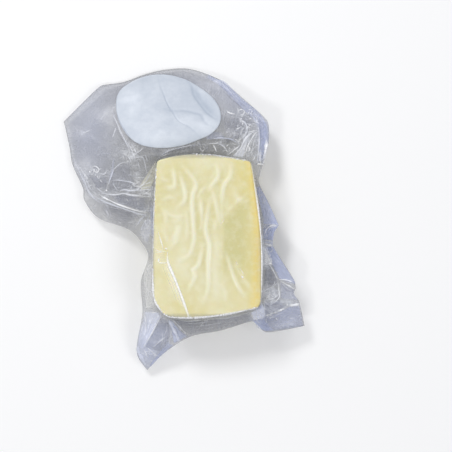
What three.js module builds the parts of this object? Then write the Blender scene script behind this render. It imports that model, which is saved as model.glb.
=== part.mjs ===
// A block of mixed milk cheese, vacuum packed in a clear pouch whose wide sealed flaps lie round it,
// with a blank oval label on the upper flap. Millimetres, +Z up. The origin is the middle of the flat
// base, +Y runs along the block to the flap with the label, and +X to the pouch's narrow side.
import * as THREE from "three";

// ---- The packed block -------------------------------------------------------------------------
const BLOCK_HEIGHT = 50; // base to the middle of the upper face
const BLOCK_CROWN = 1.2; // how far the upper face's middle stands over its rim
// Side k runs from corner k to corner k + 1: head, right, foot and left. "side" is the place round
// the block, a number from 0 to 4 whose whole part is k.
const BLOCK_SIDES = [
  { corner: [-41.2, 60.7], bulge: 5.4, bulgeAt: 0.42, cornerTurn: 0.01 },
  { corner: [35.2, 60.5], bulge: 4.5, bulgeAt: 0.57, cornerTurn: 0.01 },
  { corner: [42.8, -57.4], bulge: 4.6, bulgeAt: 0.55, cornerTurn: 0.022 },
  { corner: [-43.4, -64.2], bulge: 1.6, bulgeAt: 0.4, cornerTurn: 0.12 },
];
const EDGE_ROUND = { across: 1.8, down: 2.6 }; // round-over of the upper rim
const RIGHT_EDGE_ROUND = { across: 4.2, down: 5 }; // the softer one along the right side
const RIGHT_EDGE_SIDE = 1.5; // middle of that softer edge
const BASE_ROUND = 3; // round-over of the lower rim
const CORNER_SAMPLES = 4; // samples each way that round a corner

// ---- The pouch's flange -----------------------------------------------------------------------
const FLANGE_THICK = 1.2; // two films with a little air between
const SEAM_HEIGHT = 24; // where the two films meet the block's walls
const TENT_WIDTH = 5.5; // how far the film stands off a wall before it lies flat
const TENT_SHARE = 0.55; // most of a narrow flange that the tent may take
const TENT_FALL = 3.6; // steepness of the tent's concave fall
const CORNER_TENT = { side: 3.93, extra: 14, spread: 0.09 }; // web pulled out at the head's left corner
// The pouch's cut edge: x, y, the side that the flange springs from, and 1 where it is a cut corner.
const RIM = [
  [-122, 96, 3.9, 1],
  [-90.5, 126, 4.05, 0.6],
  [-70.5, 129.8, 4.17, 0],
  [-54, 135.6, 4.27, 0],
  [-37, 139.8, 4.37, 0],
  [-16, 140.5, 4.5, 0],
  [8.5, 131.5, 4.69, 0.5],
  [28, 115.5, 4.86, 0],
  [48, 96, 4.99, 0],
  [50.4, 88.3, 5.02, 0],
  [49.4, 73.4, 5.05, 0],
  [42.5, 49.5, 5.12, 0],
  [42, 43.5, 5.17, 0],
  [50, 27, 5.29, 0],
  [58.4, 8.5, 5.45, 1],
  [54.6, 3, 5.5, 0.5],
  [53.5, -8.5, 5.58, 0.5],
  [69.4, -34, 5.8, 0],
  [72.5, -42.6, 5.87, 0],
  [70.7, -48, 5.91, 0],
  [75.3, -54.4, 5.95, 0.5],
  [80, -75, 6.02, 1],
  [47.4, -79.6, 6.1, 0.3],
  [37.8, -70.4, 6.17, 0.5],
  [12, -78, 6.4, 0],
  [-15.3, -83.7, 6.66, 0],
  [-39.6, -100.3, 6.87, 0],
  [-51.3, -113, 6.96, 1],
  [-58.6, -102.2, 7.02, 0],
  [-59.8, -93.5, 7.04, 0],
  [-54.3, -64, 7.12, 0],
  [-55.4, -38, 7.25, 0],
  [-49.3, -17.7, 7.39, 0],
  [-52.4, -9, 7.46, 0],
  [-64.6, 4.5, 7.56, 0],
  [-91.7, 14.7, 7.66, 0],
  [-104.2, 30, 7.72, 0],
  [-105.1, 39.4, 7.76, 0],
  [-114.4, 60, 7.83, 0],
  [-117.2, 76.3, 7.87, 0],
];
// How high the flange lies out there: x, y and the height that it sinks or lifts to.
const LIE = [
  [-122, 96, 5],
  [-62, 132, 3],
  [-16, 142, 3],
  [32, 116, 10],
  [54, 82, 24],
  [60, 8, 25],
  [82, -76, 13],
  [-8, -92, 14],
  [-51, -114, 2.5],
  [-60, -50, 14],
  [-95, 14, 7],
];
const LIE_BLEND = 24; // distance over which one place's height hands over to the next
const DROOP_REACH = 72; // distance from the block at which the flange has come down to its lie
const BLOCK_HALF = [36, 56]; // the block's flat-sided middle, from which that distance is taken
const BLOCK_ROUND = 6;
// Slow waves of the crumpled flange: height, wavelength, direction in degrees and phase.
const WAVES = [
  { height: 0.9, length: 47, turn: 24, phase: 0.4 },
  { height: 0.8, length: 31, turn: 118, phase: 1.9 },
  { height: 0.5, length: 23, turn: 71, phase: 3.1 },
];
const WAVE_START = [4, 20]; // distances from the block between which the waves grow to full height
const LABEL_CALM = 0.88; // share of the waves that the stuck label smooths away

// ---- The label --------------------------------------------------------------------------------
const LABEL_CENTRE = [-33.4, 104.4];
const LABEL_HALF = [44, 31]; // about half its length and width, within which it smooths the waves
// Its edge, an oval bent with the film, clockwise from the left end.
const LABEL_EDGE = [
  [-77.9, 109.9],
  [-76.6, 119.7],
  [-71.2, 125.6],
  [-62.8, 130.7],
  [-51.8, 134.4],
  [-41.7, 135.9],
  [-30.7, 135],
  [-18.9, 131.4],
  [-7.9, 125.1],
  [1.4, 117.7],
  [8.1, 108.8],
  [10.7, 99.3],
  [8.6, 90.7],
  [1.6, 83.6],
  [-8.3, 79],
  [-19.8, 74.6],
  [-32.2, 72.5],
  [-44.6, 72.7],
  [-56.4, 75.5],
  [-66.3, 82.4],
  [-73.5, 92.9],
  [-76.8, 102.1],
];
const LABEL_THICK = 0.35;
const LABEL_GAP = 0.5; // between the label and the film that it lies on

// ---- Mesh fineness ----------------------------------------------------------------------------
const SPOKE_STEP = 6.6; // along the cut edge
const FACE_RINGS = 3;
const ROUND_RINGS = 4;
const TENT_RINGS = [0.1, 0.26, 0.5, 1];
const FLANGE_RINGS = 8;
const LABEL_STEPS = 2; // spokes from one named point of the label's edge to the next
const LABEL_RINGS = 5;

const { lerp, smoothstep } = THREE.MathUtils;

/** The block's outline before its corners are rounded: a straight side plus its outward bulge. */
function sharpOutline(side) {
  const turned = ((side % 4) + 4) % 4;
  const k = Math.floor(turned);
  const along = turned - k;
  const { corner, bulge, bulgeAt } = BLOCK_SIDES[k];
  const next = BLOCK_SIDES[(k + 1) % 4].corner;
  const run = new THREE.Vector2(next[0] - corner[0], next[1] - corner[1]);
  const out = new THREE.Vector2(-run.y, run.x).normalize();
  // A hump that is 0 at both corners and 1 at bulgeAt.
  const skewed = along ** (Math.log(0.5) / Math.log(bulgeAt));
  const hump = 4 * skewed * (1 - skewed);
  return new THREE.Vector2(corner[0], corner[1]).addScaledVector(run, along).addScaledVector(out, bulge * hump);
}

/** The block's outline, its corners rounded by a running mean that is widest at each corner. */
function outline(side) {
  const turned = ((side % 4) + 4) % 4;
  const nearest = Math.round(turned);
  const reach = 0.012 + BLOCK_SIDES[nearest % 4].cornerTurn * (1 - Math.min(1, 2 * Math.abs(turned - nearest)));
  const mean = new THREE.Vector2();
  let total = 0;
  for (let i = -CORNER_SAMPLES; i <= CORNER_SAMPLES; i++) {
    const weight = 1 - Math.abs(i) / (CORNER_SAMPLES + 1);
    mean.addScaledVector(sharpOutline(side + (2 * reach * i) / CORNER_SAMPLES), weight);
    total += weight;
  }
  return mean.divideScalar(total);
}

/** Unit vector from the outline into the block. */
function inward(side) {
  const step = 0.01;
  const along = outline(side + step).sub(outline(side - step)).normalize();
  return new THREE.Vector2(along.y, -along.x);
}

/** Distance outside the block's flat-sided middle. */
function fromBlock(x, y) {
  const dx = Math.max(0, Math.abs(x) - BLOCK_HALF[0]);
  const dy = Math.max(0, Math.abs(y) - BLOCK_HALF[1]);
  return Math.max(0, Math.hypot(dx, dy) - BLOCK_ROUND);
}

/** Height of the flange's mid-surface: the seam at the block, then a droop to the nearest lie heights. */
function flangeHeight(x, y) {
  let sum = 0;
  let total = 0;
  for (const [lieX, lieY, height] of LIE) {
    const weight = 1 / (1 + ((x - lieX) ** 2 + (y - lieY) ** 2) / LIE_BLEND ** 2) ** 2;
    sum += weight * height;
    total += weight;
  }
  const away = fromBlock(x, y);
  const droop = smoothstep(away, 0, DROOP_REACH);
  let wave = 0;
  for (const { height, length, turn, phase } of WAVES) {
    const angle = THREE.MathUtils.degToRad(turn);
    wave += height * Math.sin((2 * Math.PI * (x * Math.cos(angle) + y * Math.sin(angle))) / length + phase);
  }
  const fromLabel = Math.hypot((x - LABEL_CENTRE[0]) / LABEL_HALF[0], (y - LABEL_CENTRE[1]) / LABEL_HALF[1]);
  const calm = 1 - LABEL_CALM * (1 - smoothstep(fromLabel, 0.9, 1.6));
  return lerp(SEAM_HEIGHT, sum / total, droop) + calm * wave * smoothstep(away, ...WAVE_START);
}

/** Round-over of the upper rim at a place round the block. */
function edgeRound(side) {
  const turned = ((side % 4) + 4) % 4;
  const soft = smoothstep(0.5 - Math.abs(turned - RIGHT_EDGE_SIDE), 0, 0.22);
  return {
    across: lerp(EDGE_ROUND.across, RIGHT_EDGE_ROUND.across, soft),
    down: lerp(EDGE_ROUND.down, RIGHT_EDGE_ROUND.down, soft),
  };
}

/**
 * A closed curve through points: cubic spans whose slope at a point follows the chord between its
 * neighbours, and vanishes at a cut corner. Each place names the two points it lies between.
 */
function closedCurve(points, stepsFor) {
  const places = [];
  points.forEach((from, i) => {
    const before = points[(i + points.length - 1) % points.length];
    const to = points[(i + 1) % points.length];
    const after = points[(i + 2) % points.length];
    const length = Math.hypot(to[0] - from[0], to[1] - from[1]);
    const steps = stepsFor(length);
    const slope = (a, b, c, axis) =>
      ((1 - (b[3] ?? 0)) * (c[axis] - a[axis]) * length) /
      (Math.hypot(b[0] - a[0], b[1] - a[1]) + Math.hypot(c[0] - b[0], c[1] - b[1]));
    for (let k = 0; k < steps; k++) {
      const u = k / steps;
      const span = (axis) =>
        (2 * u ** 3 - 3 * u ** 2 + 1) * from[axis] +
        (u ** 3 - 2 * u ** 2 + u) * slope(before, from, to, axis) +
        (3 * u ** 2 - 2 * u ** 3) * to[axis] +
        (u ** 3 - u ** 2) * slope(from, to, after, axis);
      places.push({ x: span(0), y: span(1), from, to, share: u });
    }
  });
  return places;
}

/** The places along the cut edge, each with its side. */
function cutEdge() {
  const steps = (length) => Math.max(1, Math.round(length / SPOKE_STEP));
  return closedCurve(RIM, steps).map(({ x, y, from, to, share }) => {
    const endSide = to[2] < from[2] - 2 ? to[2] + 4 : to[2];
    return { x, y, side: lerp(from[2], endSide, share) };
  });
}

/** One spoke's line of points from the middle of the upper face, over the flange, to the base. */
function spoke({ x, y, side }) {
  const root = outline(side);
  const into = inward(side);
  const { across, down } = edgeRound(side);
  const shoulder = BLOCK_HEIGHT - BLOCK_CROWN;
  const points = [];
  const inner = root.clone().addScaledVector(into, across);
  for (let ring = 1; ring <= FACE_RINGS; ring++) {
    const share = ring / (FACE_RINGS + 1);
    points.push([inner.x * share, inner.y * share, shoulder + BLOCK_CROWN * (1 - share ** 2)]);
  }
  for (let ring = 0; ring < ROUND_RINGS; ring++) {
    const turn = (ring / ROUND_RINGS) * (Math.PI / 2);
    const at = root.clone().addScaledVector(into, across * (1 - Math.sin(turn)));
    points.push([at.x, at.y, shoulder - down * (1 - Math.cos(turn))]);
  }
  const width = Math.hypot(x - root.x, y - root.y);
  const near = Math.abs(((side - CORNER_TENT.side + 6) % 4) - 2);
  const pulled = TENT_WIDTH + CORNER_TENT.extra * Math.exp(-((near / CORNER_TENT.spread) ** 2));
  const tent = Math.min(pulled, TENT_SHARE * width);
  const outer = [0, ...TENT_RINGS.map((share) => (share * tent) / width)];
  for (let ring = 1; ring <= FLANGE_RINGS; ring++) outer.push(lerp(tent / width, 1, ring / FLANGE_RINGS));
  const sheet = (upper) =>
    outer.map((share) => {
      const px = lerp(root.x, x, share);
      const py = lerp(root.y, y, share);
      const fall = Math.max(0, 1 - (share * width) / tent) ** TENT_FALL;
      const flat = flangeHeight(px, py) + (upper ? 0.5 : -0.5) * FLANGE_THICK;
      return [px, py, lerp(flat, upper ? shoulder - down : BASE_ROUND, fall)];
    });
  points.push(...sheet(true), ...sheet(false).reverse());
  for (const turn of [Math.PI / 4, 0]) {
    const at = root.clone().addScaledVector(into, BASE_ROUND * (1 - Math.sin(turn)));
    points.push([at.x, at.y, BASE_ROUND * (1 - Math.cos(turn))]);
  }
  const base = root.clone().addScaledVector(into, BASE_ROUND);
  points.push([base.x / 2, base.y / 2, 0]);
  return points;
}

/** A closed body from spokes of points that run clockwise, seen from above, between two poles. */
function closedBody(spokes, topPole, bottomPole) {
  const rings = spokes[0].length;
  const count = spokes.length;
  const positions = [topPole, ...spokes.flat(), bottomPole].flat();
  const last = 1 + count * rings;
  const index = [];
  for (let i = 0; i < count; i++) {
    const here = 1 + i * rings;
    const next = 1 + ((i + 1) % count) * rings;
    index.push(0, next, here);
    for (let j = 0; j + 1 < rings; j++) {
      index.push(here + j, next + j, here + j + 1);
      index.push(next + j, next + j + 1, here + j + 1);
    }
    index.push(last, here + rings - 1, next + rings - 1);
  }
  const geometry = new THREE.BufferGeometry();
  geometry.setAttribute("position", new THREE.Float32BufferAttribute(positions, 3));
  geometry.setIndex(index);
  geometry.computeVertexNormals();
  return geometry;
}

/** The pouch with the block in it. */
function sealedBag() {
  return closedBody(cutEdge().map(spoke), [0, 0, BLOCK_HEIGHT], [0, 0, 0]);
}

/** The thin oval label, laid over the flange's upper film. */
function ovalLabel() {
  const lay = (x, y, lift) => [x, y, flangeHeight(x, y) + FLANGE_THICK / 2 + LABEL_GAP + lift];
  const spokes = closedCurve(LABEL_EDGE, () => LABEL_STEPS).map((edge) => {
    const points = [];
    for (let step = 1; step <= 2 * LABEL_RINGS; step++) {
      const share = (step <= LABEL_RINGS ? step : 2 * LABEL_RINGS + 1 - step) / LABEL_RINGS;
      const x = lerp(LABEL_CENTRE[0], edge.x, share);
      const y = lerp(LABEL_CENTRE[1], edge.y, share);
      points.push(lay(x, y, step <= LABEL_RINGS ? LABEL_THICK : 0));
    }
    return points;
  });
  return closedBody(spokes, lay(...LABEL_CENTRE, LABEL_THICK), lay(...LABEL_CENTRE, 0));
}

/** A named mesh with its own finish. */
function piece(name, geometry, finish) {
  const mesh = new THREE.Mesh(geometry, new THREE.MeshStandardMaterial(finish));
  mesh.name = name;
  return mesh;
}

const packedCheese = new THREE.Group();
packedCheese.add(
  piece("sealed_bag", sealedBag(), { color: "#d9d3b4", roughness: 0.3, metalness: 0 }),
  piece("oval_label", ovalLabel(), { color: "#d5dce4", roughness: 0.6, metalness: 0 }),
);

export default packedCheese;
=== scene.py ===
"""The looks of a vacuum packed block of mixed milk cheese: cheese, clear film and blank oval label.

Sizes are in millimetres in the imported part's frame, and become metres where a mesh is made.
"""

import logging
import math
from dataclasses import dataclass, field
from enum import Enum

import bpy
import numpy as np
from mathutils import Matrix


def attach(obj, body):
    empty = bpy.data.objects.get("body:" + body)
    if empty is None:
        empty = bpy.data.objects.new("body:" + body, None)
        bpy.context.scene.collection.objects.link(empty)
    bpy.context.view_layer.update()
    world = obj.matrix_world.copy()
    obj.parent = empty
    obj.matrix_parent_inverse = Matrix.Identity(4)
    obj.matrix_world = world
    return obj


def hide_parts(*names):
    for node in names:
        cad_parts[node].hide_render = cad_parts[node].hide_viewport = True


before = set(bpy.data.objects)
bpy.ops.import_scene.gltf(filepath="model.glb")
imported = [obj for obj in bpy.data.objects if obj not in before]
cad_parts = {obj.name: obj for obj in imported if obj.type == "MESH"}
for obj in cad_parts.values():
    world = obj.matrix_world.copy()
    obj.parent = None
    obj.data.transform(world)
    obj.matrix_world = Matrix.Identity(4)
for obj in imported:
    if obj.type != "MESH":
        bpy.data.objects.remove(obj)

Array = np.ndarray
Colour = tuple[float, float, float]
Path2 = tuple[tuple[float, float], ...]
Material = bpy.types.Material
Node = bpy.types.Node
Piece = bpy.types.Object
Socket = bpy.types.NodeSocket
Tree = bpy.types.NodeTree

LOG = logging.getLogger("packed_cheese")
MM = 0.001
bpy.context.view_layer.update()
ROOT = "root"
LABEL_MARGIN = 1.25  # how far from the label's middle, 1 at its edge, the scattered creases start


# ---- Small shared formulas ----------------------------------------------------------------------


def ease(value: Array, low: float, high: float) -> Array:
    """Smooth step: 0 below low, 1 above high, and 3 t squared less 2 t cubed between.

    Args:
        value: the numbers to ease.
        low: where the step starts.
        high: where it ends.

    Returns:
        An array of the same shape, from 0 to 1.
    """
    t = np.clip((np.asarray(value, float) - low) / (high - low), 0, 1)
    return t * t * (3 - 2 * t)


def blend(low: Array, high: Array, share: Array) -> Array:
    """Straight blend from low to high by a share from 0 to 1."""
    return low + (high - low) * share


def unit(vectors: Array) -> Array:
    """The same vectors, each of length 1."""
    return vectors / np.maximum(np.linalg.norm(vectors, axis=-1, keepdims=True), 1e-9)


def left(vectors: Array) -> Array:
    """The same vectors, turned a quarter turn to the left."""
    return np.stack([-vectors[..., 1], vectors[..., 0]], -1)


def cubic(u: Array, start: Array, end: Array, leave: Array, arrive: Array) -> Array:
    """Points at shares u of the cubic curve that leaves start and arrives at end with these slopes."""
    near = (2 * u**3 - 3 * u**2 + 1) * start + (u**3 - 2 * u**2 + u) * leave
    return near + (3 * u**2 - 2 * u**3) * end + (u**3 - u**2) * arrive


def smooth_path(points: Path2 | Array, step: float) -> Array:
    """A curve through given points: a cubic span between each two, whose slope at a point is
    half the way between its neighbours.

    Args:
        points: the places to go through, two or three numbers each.
        step: the distance between the made points.

    Returns:
        The curve's points, one row each.
    """
    p = np.asarray(points, float)
    slope = np.gradient(p, axis=0)
    made = []
    for a, b, sa, sb in zip(p[:-1], p[1:], slope[:-1], slope[1:]):
        count = max(2, int(np.linalg.norm(b - a) / step))
        made.append(cubic(np.linspace(0, 1, count, endpoint=False)[:, None], a, b, sa, sb))
    return np.concatenate([*made, p[-1:]])


def even_path(points: Path2 | Array, count: int) -> Array:
    """The same curve, as a number of points that are evenly spaced along it.

    Args:
        points: the places to go through.
        count: how many points to make.

    Returns:
        The points, one row each.
    """
    fine = smooth_path(points, 0.3)
    walked = np.concatenate([[0], np.cumsum(np.linalg.norm(np.diff(fine, axis=0), axis=1))])
    at = np.linspace(0, walked[-1], count)
    return np.stack([np.interp(at, walked, fine[:, axis]) for axis in (0, 1)], axis=1)


def along_path(xy: Array, path: Array) -> tuple[Array, Array]:
    """How far each place is from a path, and how far along the path its nearest point lies.

    Each place is projected on each straight piece of the path, held between the piece's ends, and the
    nearest piece counts.

    Args:
        xy: the places, one row each.
        path: the path's points, one row each.

    Returns:
        The distances, and the shares of the path's length from 0 to 1.
    """
    run = np.diff(path, axis=0)
    length = np.maximum(np.linalg.norm(run, axis=1), 1e-6)
    offset = xy[:, None, :] - path[:-1]
    share = np.clip((offset * run).sum(2) / length**2, 0, 1)
    gap = np.linalg.norm(offset - share[..., None] * run, axis=2)
    nearest = gap.argmin(1)
    rows = np.arange(len(xy))
    walked = np.concatenate([[0], np.cumsum(length)])
    along = (walked[nearest] + share[rows, nearest] * length[nearest]) / walked[-1]
    return gap[rows, nearest], along


def inside(xy: Array, outline: Array) -> Array:
    """Whether each place lies inside a closed outline: a ray from it towards +X crosses the outline an
    odd number of times.

    Args:
        xy: the places, one row each.
        outline: the outline's points, one row each.

    Returns:
        True or False for each place.
    """
    start, end = outline, np.roll(outline, -1, axis=0)
    x, y = xy[:, 0, None], xy[:, 1, None]
    spans = (start[:, 1] > y) != (end[:, 1] > y)
    rise = np.where(start[:, 1] == end[:, 1], 1, end[:, 1] - start[:, 1])
    crossing = start[:, 0] + (y - start[:, 1]) * (end[:, 0] - start[:, 0]) / rise
    return (spans & (x < crossing)).sum(1) % 2 == 1


def nearest(xy: Array, marks: Array) -> tuple[Array, Array]:
    """Which mark is nearest to each place, looked up part by part to save memory.

    Args:
        xy: the places, one row each.
        marks: the marks, one row each.

    Returns:
        The nearest marks' row numbers, and how far off they are.
    """
    rows, gaps = [], []
    for part in np.array_split(xy, 400):
        square = ((part[:, None, :] - marks) ** 2).sum(2)
        rows.append(square.argmin(1))
        gaps.append(square.min(1))
    return np.concatenate(rows), np.sqrt(np.concatenate(gaps))


def spots(xy: Array, blobs: tuple[tuple[float, ...], ...]) -> Array:
    """Summed soft blobs, each a bell over an upright ellipse.

    Args:
        xy: the places, one row each.
        blobs: for each blob its middle, its half sizes and its strength.

    Returns:
        One number for each place.
    """
    total = np.zeros(len(xy))
    for x, y, half_x, half_y, amount in blobs:
        total += amount * np.exp(-(((xy - (x, y)) / (half_x, half_y)) ** 2).sum(1))
    return total


class Crest(Enum):
    """How a fold's height falls off with distance from its line."""

    SOFT = "soft"
    SHARP = "sharp"

    def profile(self, q: Array) -> Array:
        """Height share at q widths from the line: a bell, or a tent with a hard crest."""
        if self is Crest.SOFT:
            return np.exp(-(q**2))
        return np.maximum(0, 1 - q) ** 1.4


@dataclass(frozen=True)
class Fold:
    """A raised line in a surface.

    Attributes:
        path: the places that it goes through.
        height: how far it stands up in the middle of its length.
        width: distance from the line at which it has fallen away.
        crest: how it falls away.
    """

    path: Path2
    height: float
    width: float
    crest: Crest = Crest.SOFT


def relief(xy: Array, folds: list[Fold] | tuple[Fold, ...]) -> Array:
    """The summed height of folds at each place; each fold fades out at both ends.

    Args:
        xy: the places, one row each.
        folds: the folds to sum.

    Returns:
        One height for each place.
    """
    total = np.zeros(len(xy))
    for fold in folds:
        path = smooth_path(fold.path, 2.5)
        reach = 3 * fold.width
        near = ((xy > path.min(0) - reach) & (xy < path.max(0) + reach)).all(1)
        if not near.any():
            continue
        gap, along = along_path(xy[near], path)
        fade = np.sin(np.pi * np.clip(along, 0.03, 0.97)) ** 0.6
        total[near] += fold.height * fade * fold.crest.profile(gap / fold.width)
    return total


def make_mesh(
    name: str, verts: Array, faces: list[Array], masks: dict[str, Array] | None = None
) -> Piece:
    """A smooth shaded mesh object at the origin.

    Args:
        name: the piece's name.
        verts: one row for each vertex, in millimetres.
        faces: arrays of faces, each with three or four corners a row.
        masks: named numbers, one for each vertex, kept as attributes for the materials.

    Returns:
        The new object.
    """
    mesh = bpy.data.meshes.new(name)
    loops = np.concatenate([f.ravel() for f in faces]).astype(np.int32)
    sizes = np.concatenate([np.full(len(f), f.shape[1]) for f in faces]).astype(np.int32)
    starts = np.concatenate([[0], np.cumsum(sizes)[:-1]]).astype(np.int32)
    mesh.vertices.add(len(verts))
    mesh.vertices.foreach_set("co", (verts * MM).astype(np.float32).ravel())
    mesh.loops.add(len(loops))
    mesh.loops.foreach_set("vertex_index", loops)
    mesh.polygons.add(len(sizes))
    mesh.polygons.foreach_set("loop_start", starts)
    mesh.polygons.foreach_set("loop_total", sizes)
    mesh.polygons.foreach_set("use_smooth", np.ones(len(sizes), bool))
    mesh.update(calc_edges=True)
    mesh.validate()
    for key, values in (masks or {}).items():
        layer = mesh.attributes.new(key, "FLOAT", "POINT")
        layer.data.foreach_set("value", np.asarray(values, np.float32))
    piece = bpy.data.objects.new(name, mesh)
    bpy.context.scene.collection.objects.link(piece)
    return piece


def spoke_faces(spokes: int, rings: int) -> list[Array]:
    """Faces of a closed body of spokes that run clockwise, seen from above, between two poles.

    Vertex 0 is the upper pole, then come the rings of each spoke in turn, and last the lower pole.

    Args:
        spokes: how many spokes go round.
        rings: how many vertices each spoke has.

    Returns:
        The quads between the rings, and the triangles at both poles.
    """
    here = 1 + np.arange(spokes)[:, None] * rings + np.arange(rings)[None, :]
    after = np.roll(here, -1, axis=0)
    quads = np.stack([here[:, :-1], after[:, :-1], after[:, 1:], here[:, 1:]], axis=2).reshape(-1, 4)
    last = 1 + spokes * rings
    top = np.stack([np.zeros(spokes, int), after[:, 0], here[:, 0]], axis=1)
    bottom = np.stack([np.full(spokes, last), here[:, -1], after[:, -1]], axis=1)
    return [quads, top, bottom]


# ---- The pack's form, shared by its pieces --------------------------------------------------------


@dataclass(frozen=True)
class Block:
    """The cheese block's form. A side number from 0 to 4 is a place round it: head, right, foot, left.

    Attributes:
        corners: the four corners before rounding.
        bulge: how far each side bulges out.
        bulge_at: where along each side it bulges most.
        bulge_power: over 1, the hump is narrower and leaves the corners straighter.
        corner_turn: how much of each side its corners round off.
        least_turn: the same where there is no corner, which smooths the bulges.
        samples: samples each way that round a corner.
        shoulder: height of the upper face's rim.
        crown: how far the face's middle stands over that rim.
        base_round: round-over of the lower rim.
        edge: how far the upper rim's round-over reaches across and down.
        right_edge: the same along the right side.
        right_edge_side: middle of that softer edge.
    """

    corners: Path2 = ((-41.2, 60.7), (34.9, 60.5), (42.8, -57.4), (-43.2, -64.2))
    bulge: tuple[float, ...] = (5.4, 4.8, 4.6, 1.8)
    bulge_at: tuple[float, ...] = (0.42, 0.52, 0.55, 0.42)
    bulge_power: tuple[float, ...] = (1.35, 1, 1, 1)
    corner_turn: tuple[float, ...] = (0.01, 0.01, 0.022, 0.12)
    least_turn: float = 0.012
    samples: int = 5
    shoulder: float = 48.0
    crown: float = 1.0
    base_round: float = 3.0
    edge: tuple[float, float] = (1.4, 2.2)
    right_edge: tuple[float, float] = (3.6, 4.6)
    right_edge_side: float = 1.5

    def sharp(self, side: Array) -> Array:
        """The outline before its corners are rounded: a straight side plus a hump outwards, a power of
        4 u (1 - u), with u skewed so that the hump peaks at bulge_at.

        Args:
            side: side numbers, in an array of any shape.

        Returns:
            A place for each side number, along one more axis.
        """
        turned = np.mod(side, 4)
        k = np.floor(turned).astype(int) % 4
        along = (turned - np.floor(turned))[..., None]
        corners = np.array(self.corners)
        start, run = corners[k], corners[(k + 1) % 4] - corners[k]
        out = unit(left(run))
        power = (np.log(0.5) / np.log(np.array(self.bulge_at)))[k][..., None]
        skewed = along**power
        hump = (4 * skewed * (1 - skewed)) ** np.array(self.bulge_power)[k][..., None]
        return start + along * run + out * np.array(self.bulge)[k][..., None] * hump

    def outline(self, side: Array) -> Array:
        """The outline with rounded corners: a running mean of the sharp one, widest at each corner.

        Args:
            side: the side numbers.

        Returns:
            The places, one row each.
        """
        turned = np.mod(side, 4)
        nearest = np.round(turned)
        turn = np.array(self.corner_turn)[nearest.astype(int) % 4]
        reach = self.least_turn + turn * (1 - np.minimum(1, 2 * np.abs(turned - nearest)))
        shifts = np.arange(-self.samples, self.samples + 1) / self.samples
        weights = 1 - np.abs(shifts) * self.samples / (self.samples + 1)
        spread = self.sharp(side[:, None] + 2 * reach[:, None] * shifts)
        return (spread * weights[:, None]).sum(1) / weights.sum()

    def inward(self, side: Array) -> Array:
        """Unit vectors from the outline into the block, square to the way between two near places."""
        return -left(unit(self.outline(side + 0.01) - self.outline(side - 0.01)))

    def edge_round(self, side: Array) -> tuple[Array, Array]:
        """How far the upper rim's round-over reaches across and down at each side number."""
        soft = ease(0.5 - np.abs(np.mod(side, 4) - self.right_edge_side), 0, 0.22)
        return blend(self.edge[0], self.right_edge[0], soft), blend(self.edge[1], self.right_edge[1], soft)

    def rim_ring(self, side: Array, inset: float, turn: float) -> Array:
        """Points round the upper rim's round-over: one less the sine of the turn times its reach across,
        and one less the cosine times its reach down.

        Args:
            side: the side numbers.
            inset: how far the wall stands inside the outline.
            turn: radians, from 0 on the face to a quarter turn on the wall.

        Returns:
            The points, one row each.
        """
        across, down = self.edge_round(side)
        reach = inset + across * (1 - math.sin(turn))
        xy = self.outline(side) + self.inward(side) * reach[:, None]
        return np.column_stack([xy, self.shoulder - down * (1 - math.cos(turn))])

    def base_ring(self, side: Array, inset: float, turn: float) -> Array:
        """The same round the lower rim, where a turn of 0 is on the base.

        Args:
            side: the side numbers.
            inset: how far the wall stands inside the outline.
            turn: radians, from 0 to a quarter turn on the wall.

        Returns:
            The points, one row each.
        """
        reach = inset + self.base_round * (1 - math.sin(turn))
        xy = self.outline(side) + self.inward(side) * reach
        return np.column_stack([xy, np.full(len(xy), self.base_round * (1 - math.cos(turn)))])


@dataclass(frozen=True)
class Label:
    """The oval label: its middle, about half its size, and points round its edge, clockwise."""

    centre: tuple[float, float] = (-33.4, 104.4)
    half: tuple[float, float] = (44.0, 31.0)
    edge: Path2 = (
        (-77.9, 109.9), (-77.1, 117.6), (-73.6, 123.6), (-67.2, 128.4), (-60.0, 132.0), (-51.2, 134.8),
        (-41.7, 135.9), (-30.7, 135.0), (-18.9, 131.4), (-7.9, 125.1), (1.4, 117.7), (8.1, 108.8),
        (10.7, 99.3), (8.6, 90.7), (1.6, 83.6), (-8.3, 79.0), (-19.8, 74.6), (-32.2, 72.5),
        (-44.6, 72.7), (-56.4, 75.5), (-66.3, 82.4), (-73.5, 92.9), (-76.8, 102.1),
    )

    def outline(self, count: int) -> Array:
        """Evenly spaced places round the closed edge: one lap of a curve that runs on past its ends.

        Args:
            count: how many places to make.

        Returns:
            The places, one row each.
        """
        fine = smooth_path((*self.edge[-3:], *self.edge, *self.edge[:3]), 0.4)
        to_start = np.linalg.norm(fine - self.edge[0], axis=1)
        half = len(fine) // 2
        lap = fine[to_start[:half].argmin() : half + to_start[half:].argmin() + 1]
        return even_path(lap, count + 1)[:-1]

    def away(self, xy: Array) -> Array:
        """Distance from the middle, 1 at about the edge."""
        return np.linalg.norm((xy - np.array(self.centre)) / np.array(self.half), axis=1)


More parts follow.
